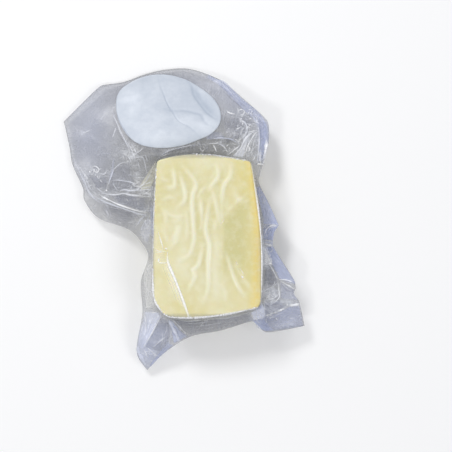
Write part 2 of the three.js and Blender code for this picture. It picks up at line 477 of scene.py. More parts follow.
@dataclass(frozen=True)
class Flange:
    """The pouch's flat flange: its cut edge and how high it lies.

    Attributes:
        edge: the cut edge's points: x, y, the side number it springs from, and 1 at a cut corner.
        lie: places far out with the height that the flange sinks or lifts to.
        lie_blend: distance over which one place's height hands over to the next.
        droop_reach: distance from the block at which the flange has come down to its lie.
        block_half: the block's flat sided middle, from which that distance is taken.
        block_round: how far that distance starts outside the middle.
        seam_height: where the two films meet the block's walls.
        waves: slow waves: height, wavelength, direction in degrees and phase.
        wave_start: distances from the block between which the waves grow.
        label_calm: share of the waves that the stuck label smooths away.
        tent_width: how far the film stands off a wall before it lies flat.
        tent_share: most of a narrow flange that the tent may take.
        tent_fall: steepness of the tent's concave fall.
        corner_tent: side number, extra width and spread of the web at the head's left corner.
    """

    edge: tuple[tuple[float, float, float, float], ...] = (
        (-122, 96, 3.9, 1), (-90.5, 126, 4.05, 0.6), (-70.5, 129.8, 4.17, 0), (-54, 135.6, 4.27, 0),
        (-37, 139.8, 4.37, 0), (-16, 140.5, 4.5, 0), (8.5, 131.5, 4.69, 0.5), (28, 115.5, 4.86, 0),
        (48, 96, 4.99, 0), (50.4, 88.3, 5.02, 0), (49.4, 73.4, 5.05, 0), (42.5, 49.5, 5.12, 0),
        (42, 43.5, 5.17, 0), (50, 27, 5.29, 0), (58.4, 8.5, 5.45, 1), (54.6, 3, 5.5, 0.5),
        (53.5, -8.5, 5.58, 0.5), (69.4, -34, 5.8, 0), (72.5, -42.6, 5.87, 0), (70.7, -48, 5.91, 0),
        (75.3, -54.4, 5.95, 0.5), (80, -75, 6.02, 1), (47.4, -79.6, 6.1, 0.3), (37.8, -70.4, 6.17, 0.5),
        (12, -78, 6.4, 0), (-15.3, -83.7, 6.66, 0), (-39.6, -100.3, 6.87, 0), (-51.3, -113, 6.96, 1),
        (-58.6, -102.2, 7.02, 0), (-59.8, -93.5, 7.04, 0), (-54.3, -64, 7.12, 0), (-55.4, -38, 7.25, 0),
        (-49.3, -17.7, 7.39, 0), (-52.4, -9, 7.46, 0), (-64.6, 4.5, 7.56, 0), (-91.7, 14.7, 7.66, 0),
        (-104.2, 30, 7.72, 0), (-105.1, 39.4, 7.76, 0), (-114.4, 60, 7.83, 0), (-117.2, 76.3, 7.87, 0),
    )
    lie: tuple[tuple[float, float, float], ...] = (
        (-122, 96, 5), (-62, 132, 3), (-16, 142, 3), (32, 116, 10), (54, 82, 24), (60, 8, 25),
        (82, -76, 13), (-8, -92, 14), (-51, -114, 2.5), (-60, -50, 14), (-95, 14, 7),
    )
    lie_blend: float = 24
    droop_reach: float = 72
    block_half: tuple[float, float] = (36, 56)
    block_round: float = 6
    seam_height: float = 24
    waves: tuple[tuple[float, float, float, float], ...] = (
        (0.9, 47, 24, 0.4), (0.8, 31, 118, 1.9), (0.5, 23, 71, 3.1),
    )
    wave_start: tuple[float, float] = (4, 20)
    label_calm: float = 0.88
    tent_width: float = 5.5
    tent_share: float = 0.55
    tent_fall: float = 3.6
    corner_tent: tuple[float, float, float] = (3.93, 14, 0.09)

    def cut_edge(self, step: float) -> tuple[Array, Array]:
        """The places along the cut edge: cubic spans through the named points.

        Args:
            step: the distance between the places.

        Returns:
            The places, one row each, and the side number that each springs from.
        """
        p = np.array(self.edge)
        to, before = np.roll(p, -1, 0), np.roll(p, 1, 0)
        to_length = np.linalg.norm(to[:, :2] - p[:, :2], axis=1)
        from_length = np.roll(to_length, 1)
        pull = ((1 - p[:, 3]) / (from_length + to_length))[:, None] * (to[:, :2] - before[:, :2])
        places, sides = [], []
        for i, length in enumerate(to_length):
            j = (i + 1) % len(p)
            u = np.linspace(0, 1, max(1, round(length / step)), endpoint=False)[:, None]
            places.append(cubic(u, p[i, :2], p[j, :2], pull[i] * length, pull[j] * length))
            end = p[j, 2] + (4 if j == 0 else 0)
            sides.append(blend(p[i, 2], end, u[:, 0]))
        return np.concatenate(places), np.concatenate(sides)

    def from_block(self, xy: Array) -> Array:
        """Distance outside the block's flat sided middle."""
        over = np.maximum(0, np.abs(xy) - np.array(self.block_half))
        return np.maximum(0, np.linalg.norm(over, axis=1) - self.block_round)

    def height(self, xy: Array, label: Label) -> Array:
        """Height of the flange's middle: the seam at the block, drooping to a weighted mean of the lie
        heights, where a height's weight falls with the fourth power of its distance, plus slow waves
        that the label smooths away.

        Args:
            xy: the places, one row each.
            label: the label.

        Returns:
            One height for each place.
        """
        places = np.array(self.lie)
        square = ((xy[:, None, :] - places[:, :2]) ** 2).sum(2) / self.lie_blend**2
        weight = 1 / (1 + square) ** 2
        far = (weight * places[:, 2]).sum(1) / weight.sum(1)
        away = self.from_block(xy)
        wave = np.zeros(len(xy))
        for height, length, turn, phase in self.waves:
            angle = math.radians(turn)
            wave += height * np.sin(2 * np.pi * (xy @ [math.cos(angle), math.sin(angle)]) / length + phase)
        calm = 1 - self.label_calm * (1 - ease(label.away(xy), 0.9, 1.6))
        drooped = blend(self.seam_height, far, ease(away, 0, self.droop_reach))
        return drooped + calm * wave * ease(away, *self.wave_start)

    def tent(self, side: Array, width: Array) -> Array:
        """How far the film stands off the wall: wider where it is pulled out at the head's left corner.

        Args:
            side: the side numbers.
            width: the flange's width at each of them.

        Returns:
            The distances.
        """
        place, extra, spread = self.corner_tent
        near = np.abs(np.mod(side - place + 6, 4) - 2)
        return np.minimum(self.tent_width + extra * np.exp(-((near / spread) ** 2)), self.tent_share * width)


def ridge(*path: tuple[float, float], height: float = 0.62, width: float = 1.82) -> Fold:
    """A soft ridge that the shrinking film pressed up in the cheese's face."""
    return Fold(path, height, width)


FACE_RIDGES: tuple[Fold, ...] = (
    ridge((-27.6, 54.5), (-26.4, 44.8), (-27.2, 39.6), (-34.1, 38.8)),
    ridge((-22, 49.8), (-18, 34.4), (-18.8, 28), (-24.6, 22.6)),
    ridge(
        (-19.8, 55.9), (-10.8, 45.2), (-9.2, 40), (-12.4, 30.4), (-11.6, 10.4), (-10.8, -1.6),
        (-12.4, -9.2), (-14.8, -15.2), (-22.2, -19.4),
        height=0.74,
    ),
    ridge((7.2, 57.1), (8.4, 48), (1, 37.4)),
    ridge((18.8, 57.1), (18, 48), (12.8, 40), (11.2, 24.4)),
    ridge((3.4, 37.8), (6.4, 27.2), (9.8, 8.4), height=0.5),
    ridge(
        (2.4, 30.8), (-0.4, 16.8), (-1.6, 4), (1.2, -6.4), (0.4, -21.6), (0.4, -41.7), (-3.8, -53.3),
        height=0.72,
    ),
    ridge((-5.6, 30.8), (-4.8, 17), height=0.45),
    ridge((-3.6, -7.8), (-7.6, -23.2), (-11.6, -27.2), (-10, -32), (-15.8, -44.5)),
    ridge((14.8, -13), (22, -35.3), (31, -50.1), height=0.55, width=1.5),
    ridge((21.2, -21.2), (29.2, -34.4), (38.2, -46.9), height=0.3, width=1.5),
    ridge((-38.5, 46.5), (-31.5, 44), height=0.35, width=1.6),
    ridge((-36.5, 29), (-31, 31), (-26, 30.2), height=0.4, width=1.6),
    ridge((-37.5, 24), (-34, 17), (-33, 9), height=0.35),
    ridge((-17, 22), (-16.2, 8), (-17, -3), height=0.3),
    ridge((6.8, 13), (5.2, 4), height=0.4),
    ridge((11.5, -39), (14.5, -47), (14, -54), height=0.25),
    ridge((20.5, 37), (24.5, 30), (30, 26), height=0.3, width=2.4),
    ridge((-30.5, -34), (-27, -46), height=0.25, width=2.4),
    ridge((-34, 22.8), (-31.5, 17.8), (-25, 15.3), (-17, 16.8), height=0.32, width=1.5),
    ridge((-30, 11.8), (-25, 12.4), (-20, 13.3), height=0.25, width=1.6),
    ridge((-29.4, -4.5), (-26.1, -0.5), (-24.1, 3.5), (-22.1, 9.6), height=0.42, width=2.2),
    ridge((-31, -9.5), (-26.1, -5.4), (-22.8, 0), height=0.36, width=1.8),
    ridge((-41.5, 36.8), (-35, 38), height=0.22, width=1.2),
    ridge((-42, 32.6), (-35.5, 33.4), height=0.22, width=1.2),
    ridge((-41.5, 24.6), (-36.5, 25.8), height=0.2, width=1.2),
    ridge((-41, 17), (-36.5, 16), height=0.2, width=1.2),
    ridge((-5, 25.5), (-4.6, 12), (-6, 3), height=0.35, width=1.5),
    ridge((6, 52), (3.5, 46), height=0.25, width=1.8),
    ridge((20.7, 24.8), (26, 29.9), (30, 31.5), height=0.3, width=1.6),
    ridge((28.7, 26.2), (34, 29.9), height=0.26, width=1.5),
    ridge((23.3, 39.5), (28.7, 41.5), (33.5, 38.2), height=0.22, width=1.9),
    ridge((16.5, 20.8), (20.7, 24.6), height=0.25, width=1.6),
    ridge((33, 20.8), (36, 11.5), height=0.2, width=1.7),
    ridge((11.2, 24.4), (11.4, 11.5), height=0.3, width=1.5),
    ridge((-1, 40.5), (-6.5, 34), (-8, 29.5), height=0.28, width=1.5),
    ridge((2, -14), (6, -28), (6, -46), height=0.22, width=3.4),
    ridge((6, 3), (7.5, -10), (7, -22), height=0.22, width=3.2),
    ridge((-36, 6), (-33, -2), (-31, -10), height=0.25, width=1.8),
)


@dataclass(frozen=True)
class PackForm:
    """Block, flange and label together, and the most that a ridge of the face stands up."""

    block: Block = field(default_factory=Block)
    flange: Flange = field(default_factory=Flange)
    label: Label = field(default_factory=Label)
    highest: float = 0.85

    def face_height(self, xy: Array, share: Array) -> Array:
        """Height of the cheese's upper face: its rim, a crown that falls with the square of the share
        of the way out, and the soft ridges, which fade before the rim.

        Args:
            xy: the places, one row each.
            share: how far out each lies, from 0 to 1.

        Returns:
            One height for each place.
        """
        ridges = relief(xy, FACE_RIDGES) * (1 - ease(share, 0.9, 1.0))
        return self.block.shoulder + self.block.crown * (1 - share**2) + np.minimum(ridges, self.highest)

    def scatter(
        self, rng: np.random.Generator, count: int, step: float, shares: tuple[float, float], spread: float
    ) -> tuple[Array, Array]:
        """Places scattered over the flange, with directions that mostly point away from the block.

        Args:
            rng: where the draws come from.
            count: how many to make.
            step: spacing of the cut edge's places.
            shares: least and most share of the way from the block to the cut edge.
            spread: spread of the directions, in radians.

        Returns:
            The places and the directions, one row each.
        """
        rim, side = self.flange.cut_edge(step)
        root = self.block.outline(side)
        pick = rng.integers(0, len(rim), count)
        middle = blend(root[pick], rim[pick], rng.uniform(*shares, count)[:, None])
        out = rim[pick] - root[pick]
        turn = np.arctan2(out[:, 1], out[:, 0]) + rng.normal(0, spread, count)
        return middle, np.stack([np.cos(turn), np.sin(turn)], 1)

    def face_rings(self, side: Array, inset: float, count: int) -> list[Array]:
        """Rings over the upper face: the inner line of its rim times a share of the way out.

        Args:
            side: the spokes' side numbers.
            inset: how far the wall stands inside the outline.
            count: how many rings to make.

        Returns:
            The rings, from the smallest to the rim's inner line.
        """
        inner = self.block.rim_ring(side, inset, 0.0)[:, :2]
        rings = []
        for share in np.linspace(0, 1, count + 1)[1:]:
            height = self.face_height(inner * share, np.full(len(inner), share))
            rings.append(np.column_stack([inner * share, height]))
        return rings


# ---- Folds and panels of the film -----------------------------------------------------------------


@dataclass(frozen=True)
class Crease:
    """A pinched line in the film: a fold in the sheet with a pale ribbon along its crest, whose white is
    painted highlight as well as whitened film; grey-black ribbons are painted shade.

    Attributes:
        path: the places that it goes through.
        width: the ribbon's width.
        cover: how much the ribbon covers, from 0 to 1.
        tone: 0 painted shade, 0.5 lavender and 1 white, which is painted highlight as well as whitened film.
        fold: how high the sheet is folded up under it.
    """

    path: Path2
    width: float
    cover: float
    tone: float
    fold: float


@dataclass(frozen=True)
class Panel:
    """A part of the film that lies double or turned: the patch between two lines. Grey-black patches are
    painted shade, and white ones are painted highlight and painted light as well as whitened film.

    Attributes:
        left: one side's places.
        right: the other side's, run the same way.
        cover: how much the patch covers along each of the two sides.
        tone: 0 painted shade, 0.5 lavender and 1 white, which is painted highlight and painted light as well
            as whitened film.
        fade: share of its length over which it fades at both ends.
    """

    left: Path2
    right: Path2
    cover: tuple[float, float]
    tone: float
    fade: float


def creases(*rows: tuple[float, ...]) -> tuple[Crease, ...]:
    """Creases from rows of numbers: width, cover, tone and fold, then x and y of each point."""
    return tuple(Crease(tuple(zip(row[4::2], row[5::2])), *row[:4]) for row in rows)


HEAD_CREASES = creases(
    (1.5, 0.65, 0.95, 0.9, 41.2, 87.2, 36.2, 84.6, 32.1, 81.2, 29.2, 77.1, 27.2, 72.7, 25.1, 69, 23.4,
        65.2),
    (0.9, 0.85, 1, 0.7, 41.2, 86.4, 37.9, 83, 35.4, 78.8, 32.9, 74.3, 31.3, 69.8, 29.2, 64.4),
    (0.6, 0.5, 0.95, 0.5, 40.8, 85.1, 38.3, 78.9, 36.6, 72.3, 35, 64),
    (0.5, 0.4, 0.95, 0.4, 37.9, 81.3, 35.4, 75.6, 33.8, 69.8, 32.1, 64),
    (1.2, 0.65, 0.9, 0.7, 23.1, 98, 25.6, 97.6, 28.1, 95.4, 30.5, 93.2, 32.1, 90.1, 32.1, 86.3, 30.4,
        82.9, 27.1, 79.2),
    (0.9, 0.7, 0.95, 0.4, 30.9, 92.8, 34.6, 91.9, 39.2, 92.7),
    (1.3, 0.95, 1, 0.4, 15.2, 104, 17.7, 101.9, 22.1, 100.9),
    (0.8, 0.75, 1, 0.3, 25.2, 103.2, 26.9, 104.9, 28.9, 104.6, 30.3, 102.7, 28.9, 100.5, 26, 100),
    (1.3, 0.8, 1, 0.2, 26, 104.6, 28.6, 104.8),
    (0.7, 0.65, 0.95, 0.3, 38.4, 99.9, 40.4, 96.9, 39.8, 93.2),
    (0.6, 0.5, 1, 0.2, 33.9, 102.3, 36.4, 100.5, 38, 101.2),
    (0.5, 0.45, 0.9, 0.3, 29.3, 98, 32.6, 96.2, 35.5, 97.3, 38, 95.8),
    (0.5, 0.4, 0.9, 0.3, 28.1, 99.7, 32.2, 98.8, 36.3, 97.5),
    (1.5, 0.95, 1, 0.4, 32.9, 74.3, 34.2, 71.4, 33.2, 68.8),
    (0.7, 0.7, 1, 0.3, 36.9, 66.9, 38.4, 64.2, 36.2, 62.1, 33.3, 63.5),
    (1.1, 0.5, 0.75, 0.8, -2.6, 79.7, 3.2, 79.9, 9.8, 80.5, 16.4, 80, 20.6, 78.7, 23.9, 76.4, 26.7, 73.5),
    (0.9, 0.6, 0.95, 0.6, -2.5, 75.4, 3.2, 76, 9, 75.6, 13.2, 73.1, 15.6, 69.8, 17.7, 66.7),
    (1.2, 0.85, 1, 0.4, 4.1, 75.2, 5.7, 72.3, 7.1, 68.7),
    (1.1, 0.75, 1, 0.5, 16.4, 66.5, 21.4, 70.5, 26.7, 74.7),
    (0.7, 0.6, 1, 0.4, 20.6, 65.3, 24.3, 69.4, 27.6, 72.7),
    (0.6, 0.45, 1, 0.3, 10.7, 68.6, 13.6, 70.2, 16.4, 69),
    (0.9, 0.5, 0.85, 0.7, -41.4, 61.8, -39.1, 65.2, -35.5, 68.2, -31.4, 70.2, -25.6, 71.8, -14.9, 74.2,
        -4.2, 75),
    (0.6, 0.5, 0.9, 0.3, -39.3, 63.5, -35.5, 66.5, -31.4, 68.2),
    (2, 0.28, 0.8, 0, 9.8, 129.7, 15.6, 122.5, 21.5, 115.5, 27.3, 109.2),
    (0.8, 0.35, 0.12, 0, 12.3, 121, 19, 114.3, 25.6, 108.3, 30.6, 103.2),
    (1.3, 0.4, 0.2, 0, 39.6, 97.4, 42.6, 92.3, 43.1, 79, 42.8, 64.1),
    (3, 0.85, 1, 0, 48, 81.4, 47.9, 73.8, 46.6, 66.4, 45.1, 59.5),
    (1.1, 0.75, 0.95, 0, 41.7, 90.6, 42.2, 80.6, 41.7, 70.7, 40.4, 60.8),
    (1.9, 0.9, 1, 0, 40.4, 59.5, 43.2, 58.9, 46.2, 59.2),
    (2.6, 0.65, 0.95, 0, 43.3, 70.7, 42.8, 64.1, 43.6, 59.9),
    (1.8, 0.3, 0.25, 0, 45.2, 84.8, 45.3, 76.5, 44.3, 69.9),
    (1.2, 0.5, 0.9, 0.5, -80.8, 105.6, -79.6, 101.3, -77.4, 96, -74.7, 90.4, -72, 84.7, -69.3, 79.2,
        -66.1, 73.5, -63.8, 68.4),
    (0.7, 0.5, 0.95, 0.4, -76, 91.7, -73.3, 85.6, -69.7, 79.2),
    (1.1, 0.55, 0.95, 0.4, -77.1, 90.9, -78.4, 86.6, -80.4, 81.2),
    (0.8, 0.35, 0.3, 0, -77.4, 103.8, -74.9, 96.9, -70, 88.6, -64.2, 81.2),
    (0.9, 0.5, 0.95, 0.5, -67.6, 78.7, -64.4, 73.1, -61.7, 67.5, -58.7, 60.1),
    (0.7, 0.45, 0.9, 0.4, -64.1, 76.9, -60.1, 70.1, -57.9, 64.2),
    (0.8, 0.5, 0.95, 0.4, -61.2, 65.8, -58.8, 68.3, -55.9, 70.4, -52.6, 73.3),
    (0.9, 0.6, 0.95, 0.3, -66.6, 65.9, -64.7, 63.4, -64.1, 60.7),
    (0.8, 0.45, 0.9, 0.5, -55.5, 67.5, -52.9, 62.5, -51.1, 55.8, -49.9, 49.2),
    (0.7, 0.4, 0.9, 0.3, -52.5, 67.9, -50.4, 63.3, -49.4, 59.9),
    (0.8, 0.35, 0.9, 0.4, -58.7, 64.2, -57.1, 57.6, -54.6, 50.9),
    (0.7, 0.5, 1, 0.3, -106.4, 85.5, -102.2, 87.5, -97.9, 89.6),
)
LEFT_CREASES = creases(
    (1.1, 0.9, 1, 1.1, -91.5, 34.8, -88, 32.2, -82.7, 29.7, -77.4, 27.1, -71.4, 24.7, -63.8, 22.1, -57.9,
        20.4, -51.2, 19.1),
    (1.5, 0.95, 1, 0, -88.9, 32.8, -85.4, 30.9, -81.8, 29.1),
    (1.2, 0.6, 0.85, 0.9, -97.5, 34.8, -92.3, 31.2, -86.1, 28, -79.2, 25.5, -71.5, 22.8, -63.8, 20.2,
        -56.2, 17.7, -47.9, 16.4),
    (1.2, 0.75, 0.95, 0.9, -92.4, 36, -84.6, 34.7, -77.6, 34, -69.7, 34.8, -62.8, 33.4, -53.6, 32.6, -47,
        32.6),
    (1.2, 0.65, 0.9, 0.7, -74.1, 36.6, -69.7, 38, -63.6, 37.1, -57.7, 37.7, -51.1, 37.2),
    (0.9, 0.6, 0.9, 0.7, -81.1, 45.5, -75.8, 46.2, -69.7, 45.3, -63.7, 44.1, -59.4, 42.1, -56.5, 39.3),
    (0.9, 0.6, 0.9, 0.6, -85.5, 36.9, -84.3, 41, -82.3, 45.5, -80.3, 50.5, -78.4, 55, -74.9, 58.2, -71.4,
        60.4, -66.7, 61),
    (1.8, 0.85, 1, 0, -85.4, 38.7, -84.9, 36.8),
    (2.6, 0.28, 0.7, 0.3, -78.4, 64.6, -79.3, 57.9, -80.3, 51.3, -82.8, 43.9),
    (0.7, 0.55, 0.9, 0.4, -79.8, 43.7, -77.6, 40.5, -74.7, 36.6),
    (0.85, 0.9, 1, 0.2, -97.3, 56.2, -96.9, 57.8, -94.8, 58.1, -92.3, 56.5, -91.6, 54.3, -93.1, 52.8,
        -95.2, 53.7, -97.3, 56.5),
    (1.6, 0.95, 1, 0.2, -100, 54.1, -98.7, 52.7),
    (0.8, 0.6, 0.95, 0.3, -90.1, 52.3, -87.1, 50.9, -85.5, 52.6, -84.2, 55.9),
    (1.6, 0.55, 0.95, 0.4, -104.3, 52.4, -102.5, 49.5, -100.4, 46.6),
    (1.9, 0.4, 0.85, 0.5, -113.1, 63.5, -108.6, 55, -103.4, 44.1, -99.6, 35.7, -93.1, 29.3, -87, 25.9),
    (0.8, 0.45, 0.9, 0.4, -110.1, 61, -105.1, 52.9, -101.7, 45.7, -98, 38.2, -91.5, 32.7),
    (0.9, 0.65, 0.95, 0.5, -56.9, 40, -52.8, 42.1, -49.1, 43.4, -44.8, 44.6),
    (0.8, 0.6, 0.95, 0.5, -56.5, 39.1, -51.1, 39.8, -45, 40.7),
    (0.8, 0.65, 0.95, 0.5, -56.1, 37.3, -50.3, 38.2, -44.8, 37.5),
    (0.7, 0.55, 0.95, 0.5, -55.7, 36.4, -50.7, 34.4, -45.1, 35.3),
    (0.7, 0.55, 0.95, 0.5, -53.2, 37.2, -48.7, 34, -45.2, 30.7),
    (0.6, 0.5, 0.95, 0.4, -53.6, 32.7, -49.9, 36, -45.4, 39.6),
    (0.9, 0.5, 0.8, 0.5, -61.1, 36.2, -56.9, 38.9, -50.8, 45.4, -42.5, 59.2),
    (1.2, 0.4, 0.85, 0.5, -58.7, 8, -55.3, 13.4, -50.3, 17.5),
    (1.3, 0.4, 0.85, 0.5, -56.2, 2.2, -52.8, 9.6, -48.3, 15.4),
    (0.8, 0.4, 0.9, 0.4, -53.6, 14.6, -50.3, 8, -47, 2.2),
    (0.7, 0.35, 0.85, 0.4, -86.1, 23.8, -84, 18.8, -82.8, 13),
    (0.6, 0.35, 0.85, 0.3, -81.8, 19.7, -80.2, 15.1),
    (0.6, 0.3, 0.85, 0.3, -90.5, 29.7, -83.5, 23.8, -87, 18),
    (0.9, 0.5, 0.9, 0.4, -94.2, 40.7, -90.7, 37.6, -86.4, 35.3),
    (0.6, 0.4, 0.9, 0.3, -73.2, 41.2, -75.4, 37.7),
    (0.5, 0.3, 0.9, 0.3, -69.7, 65.6, -62.9, 64.2, -54.6, 65.8),
    (0.8, 0.25, 0.8, 0.3, -94.4, 66.8, -87.2, 68.6, -79.3, 67.9),
    (0.6, 0.4, 0.95, 0.3, -61.3, 49.9, -55.4, 50.1),
)
FOOT_CREASES = creases(
    (0.9, 0.8, 1, 0.9, -39.2, -67, -43, -74.1, -47.2, -81.7, -51.1, -88.1, -54.5, -94.4),
    (1, 0.6, 0.95, 0.5, -52.2, -62.1, -51.5, -69.5, -51.3, -77.1, -52.8, -84.8),
    (0.8, 0.5, 0.9, 0.4, -43.7, -64.6, -48, -72.9, -51.1, -81.4),
    (0.7, 0.5, 0.95, 0.4, -41.3, -65.4, -45.5, -73, -49.7, -82.2, -53.3, -89.1),
    (0.8, 0.5, 1, 0.3, -47.1, -63.7, -41.7, -63.1),
    (3.4, 0.65, 0.8, 0.4, -58.2, -90.2, -58.3, -96.3, -55.4, -102.7, -51.8, -108.9),
    (2.8, 0.75, 0.85, 1, -32.6, -68.7, -29.4, -75.4, -26.5, -81.2, -23.7, -88),
    (0.9, 0.55, 0.9, 0.6, -30.6, -68.4, -26.4, -72, -21.5, -77.3, -16.1, -82.9),
    (0.9, 0.55, 0.95, 0.5, -34.2, -83, -39.8, -87.2, -45.8, -92.9),
    (1, 0.6, 0.95, 0.4, -51.2, -92.2, -48, -95.4, -45.1, -97.6),
    (0.8, 0.5, 0.95, 0.3, -46.8, -96.8, -42.7, -99.9, -39.8, -100.4),
    (0.7, 0.4, 0.95, 0.3, -49.4, -100.4, -45.1, -98.1, -41.1, -101.3),
    (0.7, 0.4, 0.95, 0.3, -53.5, -95.2, -51, -98.7, -52.8, -102.2),
    (0.8, 0.6, 0.95, 0.3, -26.4, -68.7, -17.4, -70.3, -7.5, -69.7, 1.6, -69.5),
    (0.6, 0.45, 0.95, 0.3, -19.8, -72, -9.1, -72.1, 2.4, -70.7),
    (0.7, 0.5, 0.95, 0.2, -2.5, -68.2, 11.5, -68.3, 26.3, -65.7, 36.2, -62.9),
    (0.6, 0.35, 0.95, 0.2, -19.8, -74.9, -6.6, -74.4, 6.6, -72.5, 19.7, -69.5),
    (0.6, 0.3, 0.95, 0.2, -13.2, -77.4, 0, -76.4, 14.8, -73.4),
)
RIGHT_CREASES = creases(
    (1, 0.85, 1, 0, 47.4, -66.1, 50.3, -65.1),
    (0.8, 0.7, 1, 0, 51.1, -64.8, 52.8, -64.4),
    (0.9, 0.8, 1, 0, 53.9, -63.9, 56.6, -63.3),
    (1.3, 0.95, 1, 0, 58.3, -62.8, 60.3, -61.5, 63, -60.4),
    (1.1, 0.8, 1, 0, 65.6, -55.9, 65.5, -58.4),
    (2.6, 0.85, 1, 0, 67, -58.1, 71.1, -57.3, 75.6, -56.8),
    (0.7, 0.6, 1, 0.2, 44.8, -53.4, 48.6, -55.8, 49.8, -57.2),
    (1, 0.95, 1, 0.35, 46.9, -17.5, 49.8, -22.5, 53.6, -28.8, 57.4, -36.1),
    (0.9, 0.85, 1, 0.5, 57.4, -36.1, 58.2, -43.2, 58.9, -49.8, 56.4, -53.5, 50.3, -57.6),
    (1, 0.9, 1, 0.5, 58.2, -36.2, 64.3, -36.4, 70.6, -38.6),
    (1.1, 0.8, 1, 0.6, 59.8, -37.4, 66, -41, 71.6, -44.2),
    (0.8, 0.45, 0.95, 0.4, 60.2, -38.7, 64.4, -42.8, 68.6, -45.8),
    (0.6, 0.45, 0.95, 0.3, 62.2, -38.2, 67.2, -38.9, 71, -41.6),
    (1, 0.8, 0.95, 0.4, 44.6, -53.1, 50.3, -52.5, 55.2, -50.9, 57.2, -47.3),
    (0.8, 0.8, 1, 0.3, 45, -46.4, 48.4, -44.3, 51.5, -42.8, 54.1, -40.7),
    (0.6, 0.5, 0.95, 0.3, 48.6, -44.4, 52.3, -43.9, 54.9, -42),
    (0.8, 0.55, 0.95, 0.3, 56.1, -46, 58, -47.6, 56.7, -50.3, 54.4, -51.1),
    (0.7, 0.4, 0.8, 0.2, 45.6, -56.6, 48.6, -55.8, 51.9, -56),
    (0.9, 0.85, 1, 0.3, 46.9, -24.9, 50.7, -22.2, 52.7, -19.2),
    (0.8, 0.6, 1, 0.4, 46.2, -21.5, 48.6, -23, 51.6, -22.5),
    (1, 0.8, 1, 0.3, 46.5, -12.1, 49.1, -17.6, 50.7, -22.1),
    (1, 0.95, 1, 0.3, 45.8, -0.5, 47.4, 3.9, 49.4, 6.7, 52.7, 8.3, 58.2, 8.8),
    (1, 0.5, 0.9, 0.3, 50.7, 6.7, 54.4, 7.2, 58, 8),
    (2.1, 1, 1, 0.1, 46.2, -6.6, 49.4, -7.3, 53.1, -8.2),
    (0.7, 0.8, 1, 0.3, 46.3, -4.3, 49.7, -4.2, 52.7, -5.2),
    (0.9, 0.4, 0.75, 0.4, 41.5, 36, 44.1, 30.3, 46.5, 24.8),
    (0.9, 0.6, 0.95, 0.2, 49.9, 21.5, 51.1, 20.5),
    (0.7, 0.35, 0.75, 0.3, 45.7, 31.9, 48.6, 23.7, 51.9, 15.4, 55.2, 9.6),
    (1.6, 0.35, 0.75, 0.3, 47.8, -9.7, 50.2, -15.1, 51.9, -19.2),
    (1.8, 0.4, 0.6, 0, 34.6, -69.6, 37.9, -70.7, 42, -75.7, 46.2, -77.8),
    (0.8, 0.5, 0.9, 0.3, 46.3, -53.8, 46.5, -61.3, 46.1, -67.5),
    (0.7, 0.6, 0.95, 0.2, 40.4, -64.1, 39.5, -68.3, 43.3, -72.9),
    (1, 0.5, 0.95, 0.2, 35.1, -64.6, 37.5, -67.9, 40.4, -70),
)
FACE_CREASES = creases(
    (1.2, 0.65, 1, 0.3, -39.7, 4, -38.1, -1.6, -36.3, -7.2, -34.9, -12.4),
    (2.3, 1, 1, 0.35, -31.9, -12.8, -32.1, -17.6, -31.3, -22.1, -28.5, -28.8, -25.2, -36.5, -21.2, -46.9,
        -17.7, -56.9, -14.2, -67.3),
    (0.5, 0.4, 0.95, 0, -34.4, -22.4, -31.7, -29.2, -28.5, -36.9, -24.4, -47.3, -20.4, -58.5),
    (0.45, 0.3, 0.95, 0, -36.1, -24, -32.9, -32, -28.9, -41.3, -24.8, -52.1),
    (0.8, 0.7, 1, 0.1, -42.1, -10.4, -39.2, -12.2, -35.7, -11.7),
    (0.7, 0.6, 1, 0.1, -41.7, -13.1, -38.1, -13, -32.6, -12.3),
    (1.3, 0.85, 1, 0.1, -34.4, -9.9, -31.7, -10.4),
    (0.9, 0.85, 1, 0.1, -37.4, -16.7, -39.5, -19.2, -37.9, -21.5, -31.7, -21.5),
    (1.6, 0.8, 1, 0.1, -39.7, -18.4, -38.4, -20.5),
    (0.7, 0.6, 1, 0.1, 25.7, -24.8, 27.6, -28.5, 30, -32),
    (1.3, 0.85, 1, 0.1, 27.2, -31.7, 28.7, -34.1),
    (0.6, 0.5, 1, 0.1, 22.5, -20, 24.4, -24),
    (0.6, 0.5, 1, 0.1, 10.8, 9.9, 12.4, 11.7, 13.7, 13.6),
    (1.4, 0.9, 1, 0.1, -45, 29.9, -44.6, 28),
    (1.6, 0.9, 1, 0.1, 37.7, 45.6, 39.3, 44.5),
)
